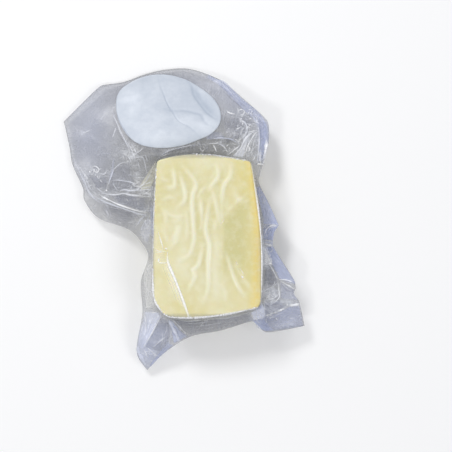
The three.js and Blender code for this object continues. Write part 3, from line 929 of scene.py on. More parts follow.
PANELS: tuple[Panel, ...] = (
    Panel(((-2.9, 133.5), (5.6, 128.6), (13.1, 121.8), (19.8, 114.8), (26.5, 107.9), (32.3, 101.9),
        (37.2, 96.6), (40.8, 89.8), (41.6, 78.9), (41.2, 69), (39.9, 59.9)), ((-1.2, 136.4),
        (6.4, 131.6), (12.3, 130.1), (19, 124.1), (28.1, 114.2), (40.6, 103.9), (46.6, 94.6),
        (48.9, 87.1), (48.5, 73.1), (45.8, 59.5)), (0.29, 0.52), 0.42, 0.04),
    Panel(((31.3, 82.1), (28.8, 77.1), (26.3, 72.3), (23, 68.2), (18.9, 65)), ((33.2, 81.7),
        (32.1, 76.4), (30.5, 70.7), (28.8, 63.9)), (0.59, 0.59), 0.9, 0.08),
    Panel(((12.3, 92.5), (19.8, 96.8), (29.7, 98.8), (36.4, 102.5)), ((13.1, 76.5), (23, 78.8),
        (32.9, 87.2), (40.4, 94.8)), (0.26, 0.34), 0.1, 0.12),
    Panel(((-2.6, 89.2), (3.2, 86.6), (11.5, 84.9)), ((-2.6, 79.9), (4.9, 80.4), (14.8, 80.6)),
        (0.2, 0.33), 0.3, 0.1),
    Panel(((-57.1, 39.6), (-52.5, 47.1), (-47.1, 54.7), (-42.2, 60.9)), ((-54.4, 37.2), (-47.8, 39.3),
        (-43.1, 46.9), (-41.3, 58.9)), (0.47, 0.55), 1.5, 0.04),
    Panel(((-48, 70.8), (-35.5, 70.4), (-19, 73.3), (-2.5, 77.7)), ((-42.6, 63.3), (-31.4, 68.5),
        (-16.5, 71.7), (-2.5, 74.4)), (0.05, 0.1), 0.2, 0.1),
    Panel(((-88.7, 26.9), (-77.5, 23.8), (-64.7, 19.6), (-55.3, 15.4)), ((-90.4, 19.7), (-80.3, 11.3),
        (-70, 5.9), (-60.5, 3.9)), (0.52, 0.13), 0.07, 0.3),
    Panel(((-81.1, 33.5), (-68.9, 33.2), (-56.2, 31.4), (-48.7, 30.3)), ((-78.4, 28.3), (-68.1, 24.9),
        (-57.1, 21.5), (-49.5, 19.9)), (0.34, 0.39), 0.13, 0.15),
    Panel(((-83.8, 35.6), (-82.3, 43), (-78.9, 52.9), (-71.4, 59.9)), ((-60.2, 37.7), (-58.6, 41.4),
        (-64.7, 51.1), (-63.8, 60.1)), (0.16, 0.23), 0.15, 0.1),
    Panel(((-100.8, 49.9), (-96.6, 45.7), (-93.3, 38.2)), ((-87.1, 49.8), (-84.9, 46.4), (-85.6, 38.1)),
        (0.33, 0.26), 0.13, 0.2),
    Panel(((-48.4, 30.3), (-48.7, 24.5), (-49, 17.9)), ((-46.2, 30.2), (-46.7, 24.5), (-47.2, 17.9)),
        (0.26, 0.26), 0.08, 0.1),
    Panel(((-46.9, 27.8), (-47.4, 17.1), (-47, 4.7), (-46, -6)), ((-44.1, 27.6), (-44, 17),
        (-43.2, 4.8), (-43.1, -5.7)), (0.31, 0.47), 0.55, 0.32),
    Panel(((-56.2, -0.3), (-53.7, 6.4), (-48.7, 14.6)), ((-51.2, -8.5), (-47.9, -0.2), (-46.4, 11.3)),
        (0.33, 0.26), 0.85, 0.15),
    Panel(((-51.2, -21.7), (-52.9, -36.6), (-51.6, -49.8), (-51.2, -61.3)), ((-44.5, -21.2),
        (-44.6, -35.9), (-44.8, -49.5), (-43.7, -59.6)), (0.34, 0.26), 1.1, 0.06),
    Panel(((-52, -62.1), (-53, -69.6), (-56.4, -78.9), (-58.1, -90.2), (-54.8, -95.3)),
        ((-41.3, -62.6), (-39.6, -67), (-45.2, -78), (-50.6, -87.3), (-54.3, -94.4)),
        (0.39, 0.59), 0.74, 0.02),
    Panel(((-38, -67), (-43.5, -75.4), (-49, -86.4), (-52.6, -93.5)), ((-33.5, -69.5),
        (-31.9, -78), (-32.7, -88), (-40.1, -96.8)), (0.29, 0.34), 0.14, 0.04),
    Panel(((-33, -69.5), (-29.9, -78.8), (-28.3, -89.8)), ((-30.6, -69.5), (-22.7, -78.7),
        (-16.6, -83.4)), (0.55, 0.47), 0.55, 0.04),
    Panel(((-33.2, -88), (-40.1, -96.8), (-49.7, -109.3)), ((-28.3, -90.3), (-37.7, -98.6),
        (-48.9, -110.6)), (0.39, 0.45), 0.45, 0.05),
    Panel(((-29.7, -69.2), (-14.9, -70), (3.3, -69.2), (23, -66.2), (34.6, -63.4)), ((-16.6, -81.7),
        (-7.5, -79.9), (4.9, -77.8), (23.1, -74.1), (36.3, -69.1)), (0.49, 0.26), 0.13, 0.05),
    Panel(((38.6, 40.4), (41.1, 31.7), (43.3, 22.8), (45.1, 15.4), (45.7, 9.2)), ((41.9, 41.3),
        (46.5, 33.9), (50.6, 25.3), (54.7, 16.2), (58.2, 8.8)), (0.65, 0.59), 0.58, 0.03),
    Panel(((42.2, 29.4), (43.9, 21.1), (45, 11.3), (45.7, 0.6)), ((44, 31.1), (46.6, 22),
        (49.4, 14.6), (49.9, 8)), (0.26, 0.21), 0.75, 0.08),
    Panel(((46.1, 6.8), (45.7, 2.3), (45.6, -3.5)), ((58, 8.3), (54.7, 3.4), (53.4, -4.4)),
        (0.42, 0.49), 0.5, 0.04),
    Panel(((46.9, -4.3), (46.7, -6.5)), ((53, -4), (53.4, -7.7)), (0.52, 0.65), 0.75, 0.02),
    Panel(((46.9, -9.1), (49.4, -15.1), (52.2, -22.5), (56.1, -30), (58.9, -35.7)), ((53.4, -8.8),
        (61, -21.4), (67.6, -31.6), (71.5, -37.4), (72.2, -40.8)), (0.55, 0.52), 0.47, 0.03),
    Panel(((46.3, -25.3), (46.3, -32.2), (46, -40.4)), ((51.6, -25.8), (55.2, -33.3), (57.2, -41.5)),
        (0.26, 0.26), 0.22, 0.06),
    Panel(((44.5, -39.8), (44.4, -45.6), (43.7, -52.1)), ((53.6, -39.9), (56.1, -44.8), (56.6, -51.4)),
        (0.45, 0.39), 0.9, 0.12),
    Panel(((59.4, -37.7), (60.2, -44.9), (60.3, -52.3)), ((71.9, -45), (71.1, -48.3), (75, -53.8)),
        (0.29, 0.39), 0.3, 0.06),
    Panel(((46.5, -67.1), (52.8, -65), (61.2, -62.4), (67, -59.4), (75.8, -58.3)), ((42, -74.9),
        (47.8, -78.7), (60.3, -77.7), (70.4, -76.4), (79.6, -75.1)), (0.55, 0.47), 0.3, 0.03),
    Panel(((46.4, -54.6), (51.9, -56), (59.4, -53.2)), ((47, -65.4), (55.3, -62.6), (63.6, -58.2)),
        (0.36, 0.39), 0.2, 0.05),
    Panel(((44.2, -53.3), (41.6, -59.1), (34.9, -63.7)), ((46.5, -60.4), (46.1, -67.5), (36.8, -69.9)),
        (0.9, 0.9), 0.78, 0.03),
    Panel(((36.8, -69.9), (42, -75), (47.8, -78.7)), ((46.1, -67.9), (47.8, -71.2), (54.4, -78.2)),
        (0.65, 0.33), 0.5, 0.05),
    Panel(((-45.4, 11.3), (-44.6, -3.4), (-44.2, -22.8)), ((-39.8, 4), (-35.3, -10.5), (-33.4, -24.1)),
        (0.13, 0.07), 0.95, 0.15),
    Panel(((-36.1, -22.5), (-30.1, -36.1), (-22.1, -56.2)), ((-31.9, -21.7), (-25.3, -36.6),
        (-16.5, -59.4)), (0.05, 0.42), 1, 0.08),
    Panel(((46.3, -9.2), (46.7, -16.6), (46.5, -24.8)), ((48.6, -9.3), (51.9, -17.6), (53.6, -24.7)),
        (0.9, 0.81), 1, 0.1),
    Panel(((45.1, -0.2), (46.1, 8), (47.8, 13.8)), ((46, -1.9), (49.4, 6.4), (52.7, 9.6)),
        (0.13, 0.39), 0.6, 0.1),
)

FLANGE_CREASES = (*HEAD_CREASES, *LEFT_CREASES, *FOOT_CREASES, *RIGHT_CREASES)


# ---- Materials --------------------------------------------------------------------------------------


class Nodes:
    """A short way to write a material's or a group's node tree."""

    def __init__(self, tree: Tree) -> None:
        """Keeps the tree that the nodes go in."""
        self.tree = tree

    def add(self, kind: str, **values: object) -> Node:
        """A new node. A value that names an input sets or links it, and any other sets a property.

        Args:
            kind: the node's type name without its ShaderNode prefix.
            values: numbers, colours or sockets; underscores in a name stand for spaces.

        Returns:
            The node.
        """
        node = self.tree.nodes.new("ShaderNode" + kind)
        properties = {k: v for k, v in values.items() if hasattr(node, k) and k != "color"}
        for key, value in properties.items():
            setattr(node, key, value)
        for key, value in values.items():
            if key in properties:
                continue
            self.feed(node.inputs[key.replace("_", " ")], value)
        return node

    def feed(self, socket: Socket, value: object) -> None:
        """Sets an input to a value, or links it when the value is a socket."""
        if isinstance(value, Socket):
            self.tree.links.new(value, socket)
        else:
            socket.default_value = value

    def math(self, operation: str, a: object, b: object = 0.0, clamp: bool = False) -> Socket:
        """The result of a Math node on two values or sockets."""
        node = self.add("Math", operation=operation, use_clamp=clamp)
        self.feed(node.inputs[0], a)
        self.feed(node.inputs[1], b)
        return node.outputs[0]

    def times(self, a: object, b: object, clamp: bool = False) -> Socket:
        """The product of two values or sockets."""
        return self.math("MULTIPLY", a, b, clamp)

    def plus(self, a: object, b: object, clamp: bool = False) -> Socket:
        """The sum of two values or sockets."""
        return self.math("ADD", a, b, clamp)

    def mask(self, name: str) -> Socket:
        """A piece's own named number."""
        return self.add("Attribute", attribute_name=name).outputs["Fac"]

    def object_place(self) -> Socket:
        """The place on the piece, in metres."""
        return self.add("TexCoord").outputs["Object"]

    def mix(self, share: object, low: object, high: object) -> Socket:
        """A colour between two colours or colour sockets."""
        node = self.add("Mix", data_type="RGBA")
        self.feed(node.inputs[0], share)
        self.feed(node.inputs[6], low if isinstance(low, Socket) else (*low, 1))
        self.feed(node.inputs[7], high if isinstance(high, Socket) else (*high, 1))
        return node.outputs[2]

    def span(
        self, value: object, low: float, high: float, to_low: float = 0, to_high: float = 1
    ) -> Socket:
        """A value moved from one range to another, held at its ends."""
        node = self.add("MapRange")
        for socket, given in zip(node.inputs, (value, low, high, to_low, to_high)):
            self.feed(socket, given)
        return node.outputs[0]

    def noise(self, place: object, scale: float, detail: float = 3, roughness: float = 0.5) -> Socket:
        """Soft noise from 0 to 1."""
        node = self.add("TexNoise", Vector=place, Scale=scale, Detail=detail, Roughness=roughness)
        return node.outputs[0]


    def bent(self, place: object, scale: float, amount: float) -> Socket:
        """A place that soft noise pushes away by up to this amount along each axis."""
        bend = self.add("TexNoise", Vector=place, Scale=scale, Detail=2.0)
        moved = self.add("VectorMath", operation="MULTIPLY_ADD")
        for socket, given in zip(moved.inputs, (bend.outputs["Color"], (amount,) * 3, place)):
            self.feed(socket, given)
        return moved.outputs[0]

    def crumpled(self, crumple: Tree, place: object, scale: float, **bump: object) -> Socket:
        """Normals bumped by the facet heights of crumpled film."""
        cells = self.add("Group", node_tree=crumple, Place=place, Scale=scale)
        return self.add("Bump", Height=cells.outputs[0], **bump).outputs[0]

    def lit(self, alpha: object, shadow: float) -> Socket:
        """An alpha of which shadow rays meet only this share."""
        in_shadow = self.add("LightPath").outputs["Is Shadow Ray"]
        return self.times(alpha, self.span(in_shadow, 0.0, 1.0, 1.0, shadow))


def new_group(name: str, numbers: tuple[str, ...], output: str) -> tuple[Tree, Nodes, Node, Socket]:
    """A node group that takes a place and some numbers and gives one number.

    Args:
        name: the group's name.
        numbers: the names of the numbers that it takes beside Place.
        output: the name of the number that it gives.

    Returns:
        The group, its nodes, its input node and the socket of its result.
    """
    group = bpy.data.node_groups.new(name, "ShaderNodeTree")
    group.interface.new_socket("Place", in_out="INPUT", socket_type="NodeSocketVector")
    for number in numbers:
        group.interface.new_socket(number, in_out="INPUT", socket_type="NodeSocketFloat")
    group.interface.new_socket(output, in_out="OUTPUT", socket_type="NodeSocketFloat")
    given = group.nodes.new("NodeGroupInput")
    made = group.nodes.new("NodeGroupOutput")
    return group, Nodes(group), given, made.inputs[output]


def new_material(name: str) -> tuple[Material, Nodes, Node]:
    """A material with one Principled BSDF.

    Args:
        name: the material's name.

    Returns:
        The material, its nodes and the BSDF.
    """
    material = bpy.data.materials.new(name)
    material.use_nodes = True
    tree = material.node_tree
    shader = next(n for n in tree.nodes if n.type == "BSDF_PRINCIPLED")
    return material, Nodes(tree), shader


def hairline_group() -> Tree:
    """Fine pale lines in patches: the edges of bent cells, kept where a noise is high.

    Returns:
        The node group, with inputs Place, Scale and Width and output Lines.
    """
    group, nodes, given, made = new_group("film_hairlines", ("Scale", "Width"), "Lines")
    scaled = nodes.add("VectorMath", operation="SCALE")
    nodes.feed(scaled.inputs[0], given.outputs["Place"])
    nodes.feed(scaled.inputs["Scale"], given.outputs["Scale"])
    bent = nodes.bent(scaled.outputs[0], 0.9, 1.6)
    cells = nodes.add("TexVoronoi", feature="DISTANCE_TO_EDGE", Vector=bent, Scale=1.0)
    near = nodes.math("DIVIDE", cells.outputs["Distance"], given.outputs["Width"])
    line = nodes.math("SUBTRACT", 1.0, near, clamp=True)
    patch = nodes.span(nodes.noise(scaled.outputs[0], 0.45, 2.0), 0.46, 0.62)
    nodes.feed(made, nodes.times(line, patch))
    return group


def crumple_group() -> Tree:
    """A height made of flat facets with hard creases between them, as in crumpled film.

    Two sizes of cells are bent by noise. The height is the distance to the nearest cell edge, so each
    edge is a valley and each cell a facet.

    Returns:
        The node group, with inputs Place and Scale and output Height.
    """
    group, nodes, given, made = new_group("film_crumple", ("Scale",), "Height")
    bent = nodes.bent(given.outputs["Place"], 55.0, 0.012)
    height: Socket | float = 0.0
    for size, amount in ((1.0, 1.0), (2.7, 0.4)):
        cells = nodes.add("TexVoronoi", feature="DISTANCE_TO_EDGE", Vector=bent)
        nodes.feed(cells.inputs["Scale"], nodes.times(given.outputs["Scale"], size))
        height = nodes.plus(height, nodes.times(cells.outputs["Distance"], amount))
    nodes.feed(made, height)
    return group


@dataclass(frozen=True)
class CheeseFinish:
    """Pale yellow pressed cheese: moist, slightly waxy, warmer along the right side."""

    body: Colour = (0.755, 0.695, 0.38)
    # The ridge colour: a lighter tone of the cheese, and the painted highlight on the ridges' crests.
    ridge: Colour = (0.88, 0.86, 0.66)
    # Painted shade beside the ridges.
    valley: Colour = (0.66, 0.61, 0.31)
    green: Colour = (0.64, 0.6, 0.285)
    yellow: Colour = (0.755, 0.665, 0.27)
    warm: Colour = (0.88, 0.7, 0.205)

    def build(self) -> Material:
        """The cheese's material."""
        material, nodes, shader = new_material("cheese")
        place = nodes.object_place()
        cloud = nodes.noise(place, 38.0, 4.0)
        colour = nodes.mix(nodes.span(cloud, 0.42, 0.75, 0.0, 0.7), self.body, self.ridge)
        colour = nodes.mix(nodes.mask("yellow"), colour, self.yellow)
        colour = nodes.mix(nodes.times(nodes.mask("green"), 0.85), colour, self.green)
        # Painted shade: darker beside the ridges.
        colour = nodes.mix(nodes.times(nodes.mask("valley"), 0.95), colour, self.valley)
        # Painted highlight: lighter on the ridges' crests, where the film over them catches the light; the
        # mask also holds pale spots.
        colour = nodes.mix(nodes.times(nodes.mask("ridge"), 0.84, clamp=True), colour, self.ridge)
        patch = nodes.span(nodes.noise(place, 70.0, 4.0, 0.6), 0.35, 0.65, 0.65, 1.0)
        warmth = nodes.times(nodes.mask("warm"), patch)
        colour = nodes.mix(warmth, colour, self.warm)
        fine = nodes.noise(place, 190.0, 4.0, 0.6)
        colour = nodes.mix(nodes.span(fine, 0.45, 0.75, 0.0, 0.35), colour, self.ridge)
        nodes.feed(shader.inputs["Base Color"], colour)
        grain = nodes.noise(place, 900.0, 3.0)
        nodes.feed(shader.inputs["Roughness"], nodes.span(grain, 0.3, 0.7, 0.36, 0.5))
        bump = nodes.add("Bump", Height=nodes.noise(place, 150.0, 4.0), Strength=0.16, Distance=0.001)
        nodes.feed(shader.inputs["Normal"], bump.outputs[0])
        shader.inputs["Subsurface Weight"].default_value = 0.18
        shader.inputs["Subsurface Radius"].default_value = (0.006, 0.004, 0.0015)
        shader.inputs["Coat Weight"].default_value = 0.35
        shader.inputs["Coat Roughness"].default_value = 0.16
        return material


@dataclass(frozen=True)
class FilmFinish:
    """Clear vacuum film: greyish where it lies double and greyer in spots of painted shade, lavender on
    folded hems, milky on creases and in spots, some of which are painted light.
    """

    clear: Colour = (0.31, 0.315, 0.335)
    lavender: Colour = (0.42, 0.465, 0.64)
    milky: Colour = (0.84, 0.87, 0.93)
    tight_alpha: float = 0.035
    flange_alpha: float = 0.31
    hairline_alpha: float = 0.36
    folded_alpha: float = 0.14
    shadow: float = 0.85

    def build(self, crumple: Tree) -> Material:
        """The film's material.

        Fine streaks follow the film outwards from the block: noise over the masks around and out.

        Args:
            crumple: the facet height group.

        Returns:
            The material. Its alpha grows where the film is milky, folded or seen edge on.
        """
        material, nodes, shader = new_material("clear_film")
        place = nodes.object_place()
        haze, lavender, tight = nodes.mask("haze"), nodes.mask("lavender"), nodes.mask("tight")
        drawn = nodes.add("CombineXYZ", X=nodes.mask("around"), Y=nodes.mask("out"), Z=0.0).outputs[0]
        streak = nodes.noise(drawn, 0.55, 5.0, 0.62)
        cloud = nodes.noise(place, 60.0, 3.0)
        colour = nodes.mix(lavender, self.clear, self.lavender)
        loose = nodes.math("SUBTRACT", 1.0, tight)
        streaky = nodes.times(loose, nodes.span(streak, 0.5, 0.75, 0.0, 0.3))
        colour = nodes.mix(streaky, colour, self.milky)
        # The haze mask whitens the film; its spots right of the block are painted light.
        white = nodes.times(haze, nodes.span(streak, 0.35, 0.65, 0.6, 1.0), clamp=True)
        lines = hairline_group()
        drawn_lines = nodes.add("Group", node_tree=lines, Place=drawn, Scale=0.4, Width=0.13)
        fine_lines = nodes.add("Group", node_tree=lines, Place=place, Scale=230.0, Width=0.1)
        both = nodes.plus(drawn_lines.outputs[0], fine_lines.outputs[0], clamp=True)
        crazed = nodes.times(nodes.times(both, loose), nodes.mask("crinkle"))
        white = nodes.plus(white, nodes.times(crazed, 0.85), clamp=True)
        nodes.feed(shader.inputs["Base Color"], nodes.mix(white, colour, self.milky))
        base = nodes.span(tight, 0.0, 1.0, self.flange_alpha, self.tight_alpha)
        patchy = nodes.times(base, nodes.span(cloud, 0.3, 0.7, 0.94, 1.06))
        patchy = nodes.plus(patchy, nodes.times(streaky, 0.12))
        # Painted shade: the film denser and greyer in spots.
        patchy = nodes.plus(patchy, nodes.times(nodes.mask("dense"), 0.11))
        folded = nodes.times(lavender, self.folded_alpha)
        facing = nodes.add("LayerWeight", Blend=0.25).outputs["Facing"]
        edge_on = nodes.times(nodes.math("POWER", facing, 3.0), 0.25)
        alpha = nodes.plus(patchy, nodes.times(haze, 0.5))
        alpha = nodes.plus(nodes.plus(alpha, folded), edge_on)
        alpha = nodes.plus(alpha, nodes.times(crazed, self.hairline_alpha), clamp=True)
        nodes.feed(shader.inputs["Alpha"], nodes.lit(alpha, self.shadow))
        bumpy = nodes.span(tight, 0.0, 1.0, 0.3, 0.07)
        facets = nodes.crumpled(crumple, place, 150.0, Strength=bumpy, Distance=0.0008)
        ribbed = nodes.times(loose, 0.5)
        ribs = nodes.add("Bump", Height=streak, Strength=ribbed, Distance=0.0008, Normal=facets)
        nodes.feed(shader.inputs["Normal"], ribs.outputs[0])
        nodes.feed(shader.inputs["Roughness"], nodes.span(cloud, 0.3, 0.7, 0.28, 0.4))
        shader.inputs["IOR"].default_value = 1.5
        shader.inputs["Specular IOR Level"].default_value = 0.5
        return material


@dataclass(frozen=True)
class FoldFinish:
    """Film that lies double or pinched: by the tone mask from painted shade over lavender and white, which
    is painted highlight as well as whitened film, to cheese.
    """

    painted_shade: Colour = (0.1, 0.1, 0.105)
    lavender: Colour = (0.45, 0.52, 0.8)
    pale: Colour = (0.95, 0.96, 0.99)
    warm: Colour = (0.74, 0.72, 0.56)
    grain_scale: float = 0.75
    streaks: float = 0.0
    shadow: float = 0.25

    def build(self, name: str, crumple: Tree) -> Material:
        """The material of folded film.

        Args:
            name: the material's name.
            crumple: the facet height group.

        Returns:
            The material. The side that faces the viewer covers what the cover mask says, broken up by
            noise that runs along each body; the far side doesn't, and most light passes through both.
        """
        material, nodes, shader = new_material(name)
        place = nodes.object_place()
        tone, cover = nodes.mask("tone"), nodes.mask("cover")
        drawn = nodes.add("CombineXYZ", X=nodes.mask("across"), Y=nodes.mask("along"), Z=0.0).outputs[0]
        grain = nodes.noise(drawn, self.grain_scale, 4.0, 0.62)
        gaps = nodes.times(nodes.span(grain, 0.38, 0.6, 1.0, 0.0), nodes.mask("worn"))
        whole = nodes.math("SUBTRACT", 1.0, gaps)
        # Tone 0 is painted shade.
        colour = nodes.mix(nodes.span(tone, 0.0, 0.5), self.painted_shade, self.lavender)
        # Tone 1 is white: painted highlight as well as whitened film.
        colour = nodes.mix(nodes.span(tone, 0.5, 1.0), colour, self.pale)
        colour = nodes.mix(nodes.span(tone, 1.0, 1.5), colour, self.warm)
        colour = nodes.mix(nodes.span(grain, 0.52, 0.7, 0.0, self.streaks), colour, self.pale)
        nodes.feed(shader.inputs["Base Color"], colour)
        far_side = nodes.add("NewGeometry").outputs["Backfacing"]
        seen = nodes.math("SUBTRACT", nodes.times(cover, whole), far_side, clamp=True)
        nodes.feed(shader.inputs["Alpha"], nodes.lit(seen, self.shadow))
        facets = nodes.crumpled(crumple, place, 260.0, Strength=0.3, Distance=0.0006)
        nodes.feed(shader.inputs["Normal"], facets)
        nodes.feed(shader.inputs["Roughness"], nodes.span(grain, 0.38, 0.6, 0.34, 0.16))
        return material


@dataclass(frozen=True)
class LabelFinish:
    """Blank satin paper, bluish white, faintly mottled, with painted shade in its creases and towards its
    right side.
    """

    paper: Colour = (0.565, 0.61, 0.68)
    shade: Colour = (0.4, 0.455, 0.54)
    pale: Colour = (0.7, 0.745, 0.81)

    def build(self, crumple: Tree) -> Material:
        """The label's material."""
        material, nodes, shader = new_material("label_paper")
        place = nodes.object_place()
        mottle = nodes.noise(place, 60.0, 5.0, 0.6)
        # The crease mask is painted shade: darker along the creases and towards the right side.
        worn = nodes.plus(nodes.span(mottle, 0.4, 0.75, 0.0, 0.45), nodes.mask("crease"), clamp=True)
        colour = nodes.mix(worn, self.paper, self.shade)
        fine = nodes.noise(place, 210.0, 4.0, 0.65)
        colour = nodes.mix(nodes.span(fine, 0.42, 0.7, 0.0, 0.28), colour, self.shade)
        patch = nodes.span(nodes.noise(place, 130.0, 4.0, 0.6), 0.4, 0.6, 0.35, 1.0)
        colour = nodes.mix(nodes.times(nodes.mask("pale"), patch), colour, self.pale)
        nodes.feed(shader.inputs["Base Color"], colour)
        facets = nodes.crumpled(crumple, place, 60.0, Strength=0.12, Distance=0.0008)
        nodes.feed(shader.inputs["Normal"], facets)
        nodes.feed(shader.inputs["Roughness"], nodes.span(mottle, 0.3, 0.7, 0.38, 0.55))
        return material


# ---- The cheese -------------------------------------------------------------------------------------


@dataclass
class CheeseBlock:
    """The block of cheese inside the film, with the soft ridges on its upper face.

    Attributes:
        form: what the pieces share.
        spokes: points round the block.
        face_rings: rings over its upper face.
        round_rings: rings round its upper rim.
        wall_rings: rings down its walls.
        inset: how far its walls stand inside the film.
        sink: how far its face lies under the film.
        lift: how far its base stands over the film.
        wall_hollow: how far its walls curve in half way down.
        upper_heights: heights between which the masks of the face set in.
        ridge_height: the height at which a ridge's mask is full; the mask is the painted highlight on its
            crest.
        valley_width: how much wider than its ridge the painted shade beside it reaches.
        valley_height: the height of the widened ridge at which the painted shade beside it is full.
        warm_edge: the right edge's place, its bulge, and the bulge's middle and half length.
        warm_reach: where the warm right side sets in and is full, measured from that edge.
        warm_wall: how warm the wall below it stays.
        pale_spots: pale spots of the face, as middle, half sizes and strength.
        yellow_spots: yellow ones.
    """

    form: PackForm
    spokes: int = 400
    face_rings: int = 60
    round_rings: int = 9
    wall_rings: int = 10
    inset: float = 0.35
    sink: float = 0.28
    lift: float = 0.25
    wall_hollow: float = 0.5
    upper_heights: tuple[float, float] = (40, 46)
    ridge_height: float = 0.62
    valley_width: float = 2.2
    valley_height: float = 0.7
    warm_edge: tuple[float, float, float, float] = (37.5, 5.5, -8, 72)
    warm_reach: tuple[float, float] = (-9.5, -2.0)
    warm_wall: float = 0.55
    pale_spots: tuple[tuple[float, ...], ...] = (
        (-27, -30, 12, 20, 0.2), (-25, 8, 8, 14, 0.3), (6, -20, 6, 26, 0.3), (18, -45, 18, 12, 0.25),
    )
    yellow_spots: tuple[tuple[float, ...], ...] = (
        (33, 42, 15, 30, 0.85), (34, -28, 13, 40, 0.7), (-33, 50, 10, 12, 0.25), (-5, -58, 38, 7, 0.25),
        (-36, -44, 8, 12, 0.3), (-40, 22, 4, 30, 0.25),
    )

    def mesh(self) -> Piece:
        """The block: rings of the outline, drawn in over the face, round the rims and down the walls.

        Returns:
            The piece, with masks for the ridges and the warm and greenish parts of the face.
        """
        block = self.form.block
        side = np.linspace(0, 4, self.spokes, endpoint=False)
        turns = np.linspace(0, math.pi / 2, self.round_rings + 1)[1:]
        rings = self.form.face_rings(side, self.inset, self.face_rings)
        rings += [block.rim_ring(side, self.inset, turn) for turn in turns]
        rings = [ring - (0, 0, self.sink) for ring in rings]
        into, high = block.inward(side), rings[-1][:, 2]
        for share in np.linspace(0, 1, self.wall_rings + 1)[1:]:
            hollow = self.inset + self.wall_hollow * math.sin(math.pi * share)
            z = blend(high, block.base_round + self.lift, share)
            rings.append(np.column_stack([block.outline(side) + into * hollow, z]))
        base = [block.base_ring(side, self.inset, turn) for turn in np.linspace(math.pi / 2, 0, 5)[1:]]
        base.append(base[-1] * (0.5, 0.5, 1))
        grid = np.stack(rings + [ring + (0, 0, self.lift) for ring in base], axis=1)
        top = [0, 0, block.shoulder + block.crown - self.sink]
        verts = np.concatenate([[top], grid.reshape(-1, 3), [[0, 0, self.lift]]])
        return make_mesh("cheese_block", verts, spoke_faces(self.spokes, grid.shape[1]), self.masks(verts))

    def masks(self, verts: Array) -> dict[str, Array]:
        """Masks over the block: painted highlight on the ridges and painted shade beside them, along the
        warm right side and in the greenish hollow, which lies between two lines across, a line down and a
        slanting one.

        Args:
            verts: the block's vertices in millimetres.

        Returns:
            The masks by name.
        """
        xy = verts[:, :2]
        x, y = xy.T
        upper = ease(verts[:, 2], *self.upper_heights)
        # Painted highlight on the ridges' crests.
        ridges = np.clip(relief(xy, FACE_RIDGES) / self.ridge_height, 0, 1.2) * upper
        start, bulge, middle, half = self.warm_edge
        right = start + bulge * (1 - ((y - middle) / half) ** 2)
        warm = ease(x - right, *self.warm_reach) * blend(self.warm_wall, 1, upper)
        hollow = ease(x, 11, 14.5) * (1 - ease(x, 24, 38)) * ease(y, -42, -14) * ease(x - y, -4, 5)
        wide = [Fold(f.path, f.height, f.width * self.valley_width) for f in FACE_RIDGES]
        # Painted shade beside the ridges, where the widened ridges reach past the ridges themselves.
        valley = np.clip(relief(xy, wide) / self.valley_height - ridges, 0, 1) * upper
        ridges = ridges + spots(xy, self.pale_spots) * upper
        yellow = np.clip(spots(xy, self.yellow_spots), 0, 1) * upper
        return {"ridge": ridges, "valley": valley, "warm": warm, "yellow": yellow, "green": hollow * upper}

    def build(self) -> Piece:
        """The dressed block, riding with the pack."""
        piece = self.mesh()
        piece.data.materials.append(CheeseFinish().build())
        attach(piece, ROOT)
        return piece


# ---- The film ---------------------------------------------------------------------------------------


@dataclass
class Sheet:
    """The points of one film sheet as spokes by rings, kept for what lies on it."""

    grid: Array
    normals: Array = field(init=False)

    def __post_init__(self) -> None:
        """Normals from the cross product of the steps round and along the grid; they point up."""
        around = np.roll(self.grid, -1, 0) - np.roll(self.grid, 1, 0)
        along = np.gradient(self.grid, axis=1)
        self.normals = unit(np.cross(around, along))

    def lay(self, xy: Array) -> tuple[Array, Array]:
        """Where places seen from above lie on the sheet.

        Each of the four nearest points of the grid carries its height to the place along its own plane.
        Their mean counts, weighted by one over the squared distance.

        Args:
            xy: the places, one row each.

        Returns:
            The points on the sheet and its normals there.
        """
        points = self.grid.reshape(-1, 3)
        normals = self.normals.reshape(-1, 3)
        heights, leans = [], []
        for part in np.array_split(xy, max(1, len(xy) // 60)):
            close = ((points[:, :2] > part.min(0) - 4) & (points[:, :2] < part.max(0) + 4)).all(1)
            rows = np.flatnonzero(close)
            square = ((points[None, rows, :2] - part[:, None, :]) ** 2).sum(2)
            four = np.argpartition(square, 4, axis=1)[:, :4]
            weight = 1 / (np.take_along_axis(square, four, 1) + 0.02)
            weight /= weight.sum(1, keepdims=True)
            base, normal = points[rows[four]], normals[rows[four]]
            offset = part[:, None, :] - base[..., :2]
            rise = -(offset * normal[..., :2]).sum(2) / np.maximum(np.abs(normal[..., 2]), 0.35)
            heights.append((weight * (base[..., 2] + np.clip(rise, -0.6, 0.6))).sum(1))
            leans.append((weight[..., None] * normal).sum(1))
        return np.column_stack([xy, np.concatenate(heights)]), unit(np.concatenate(leans))


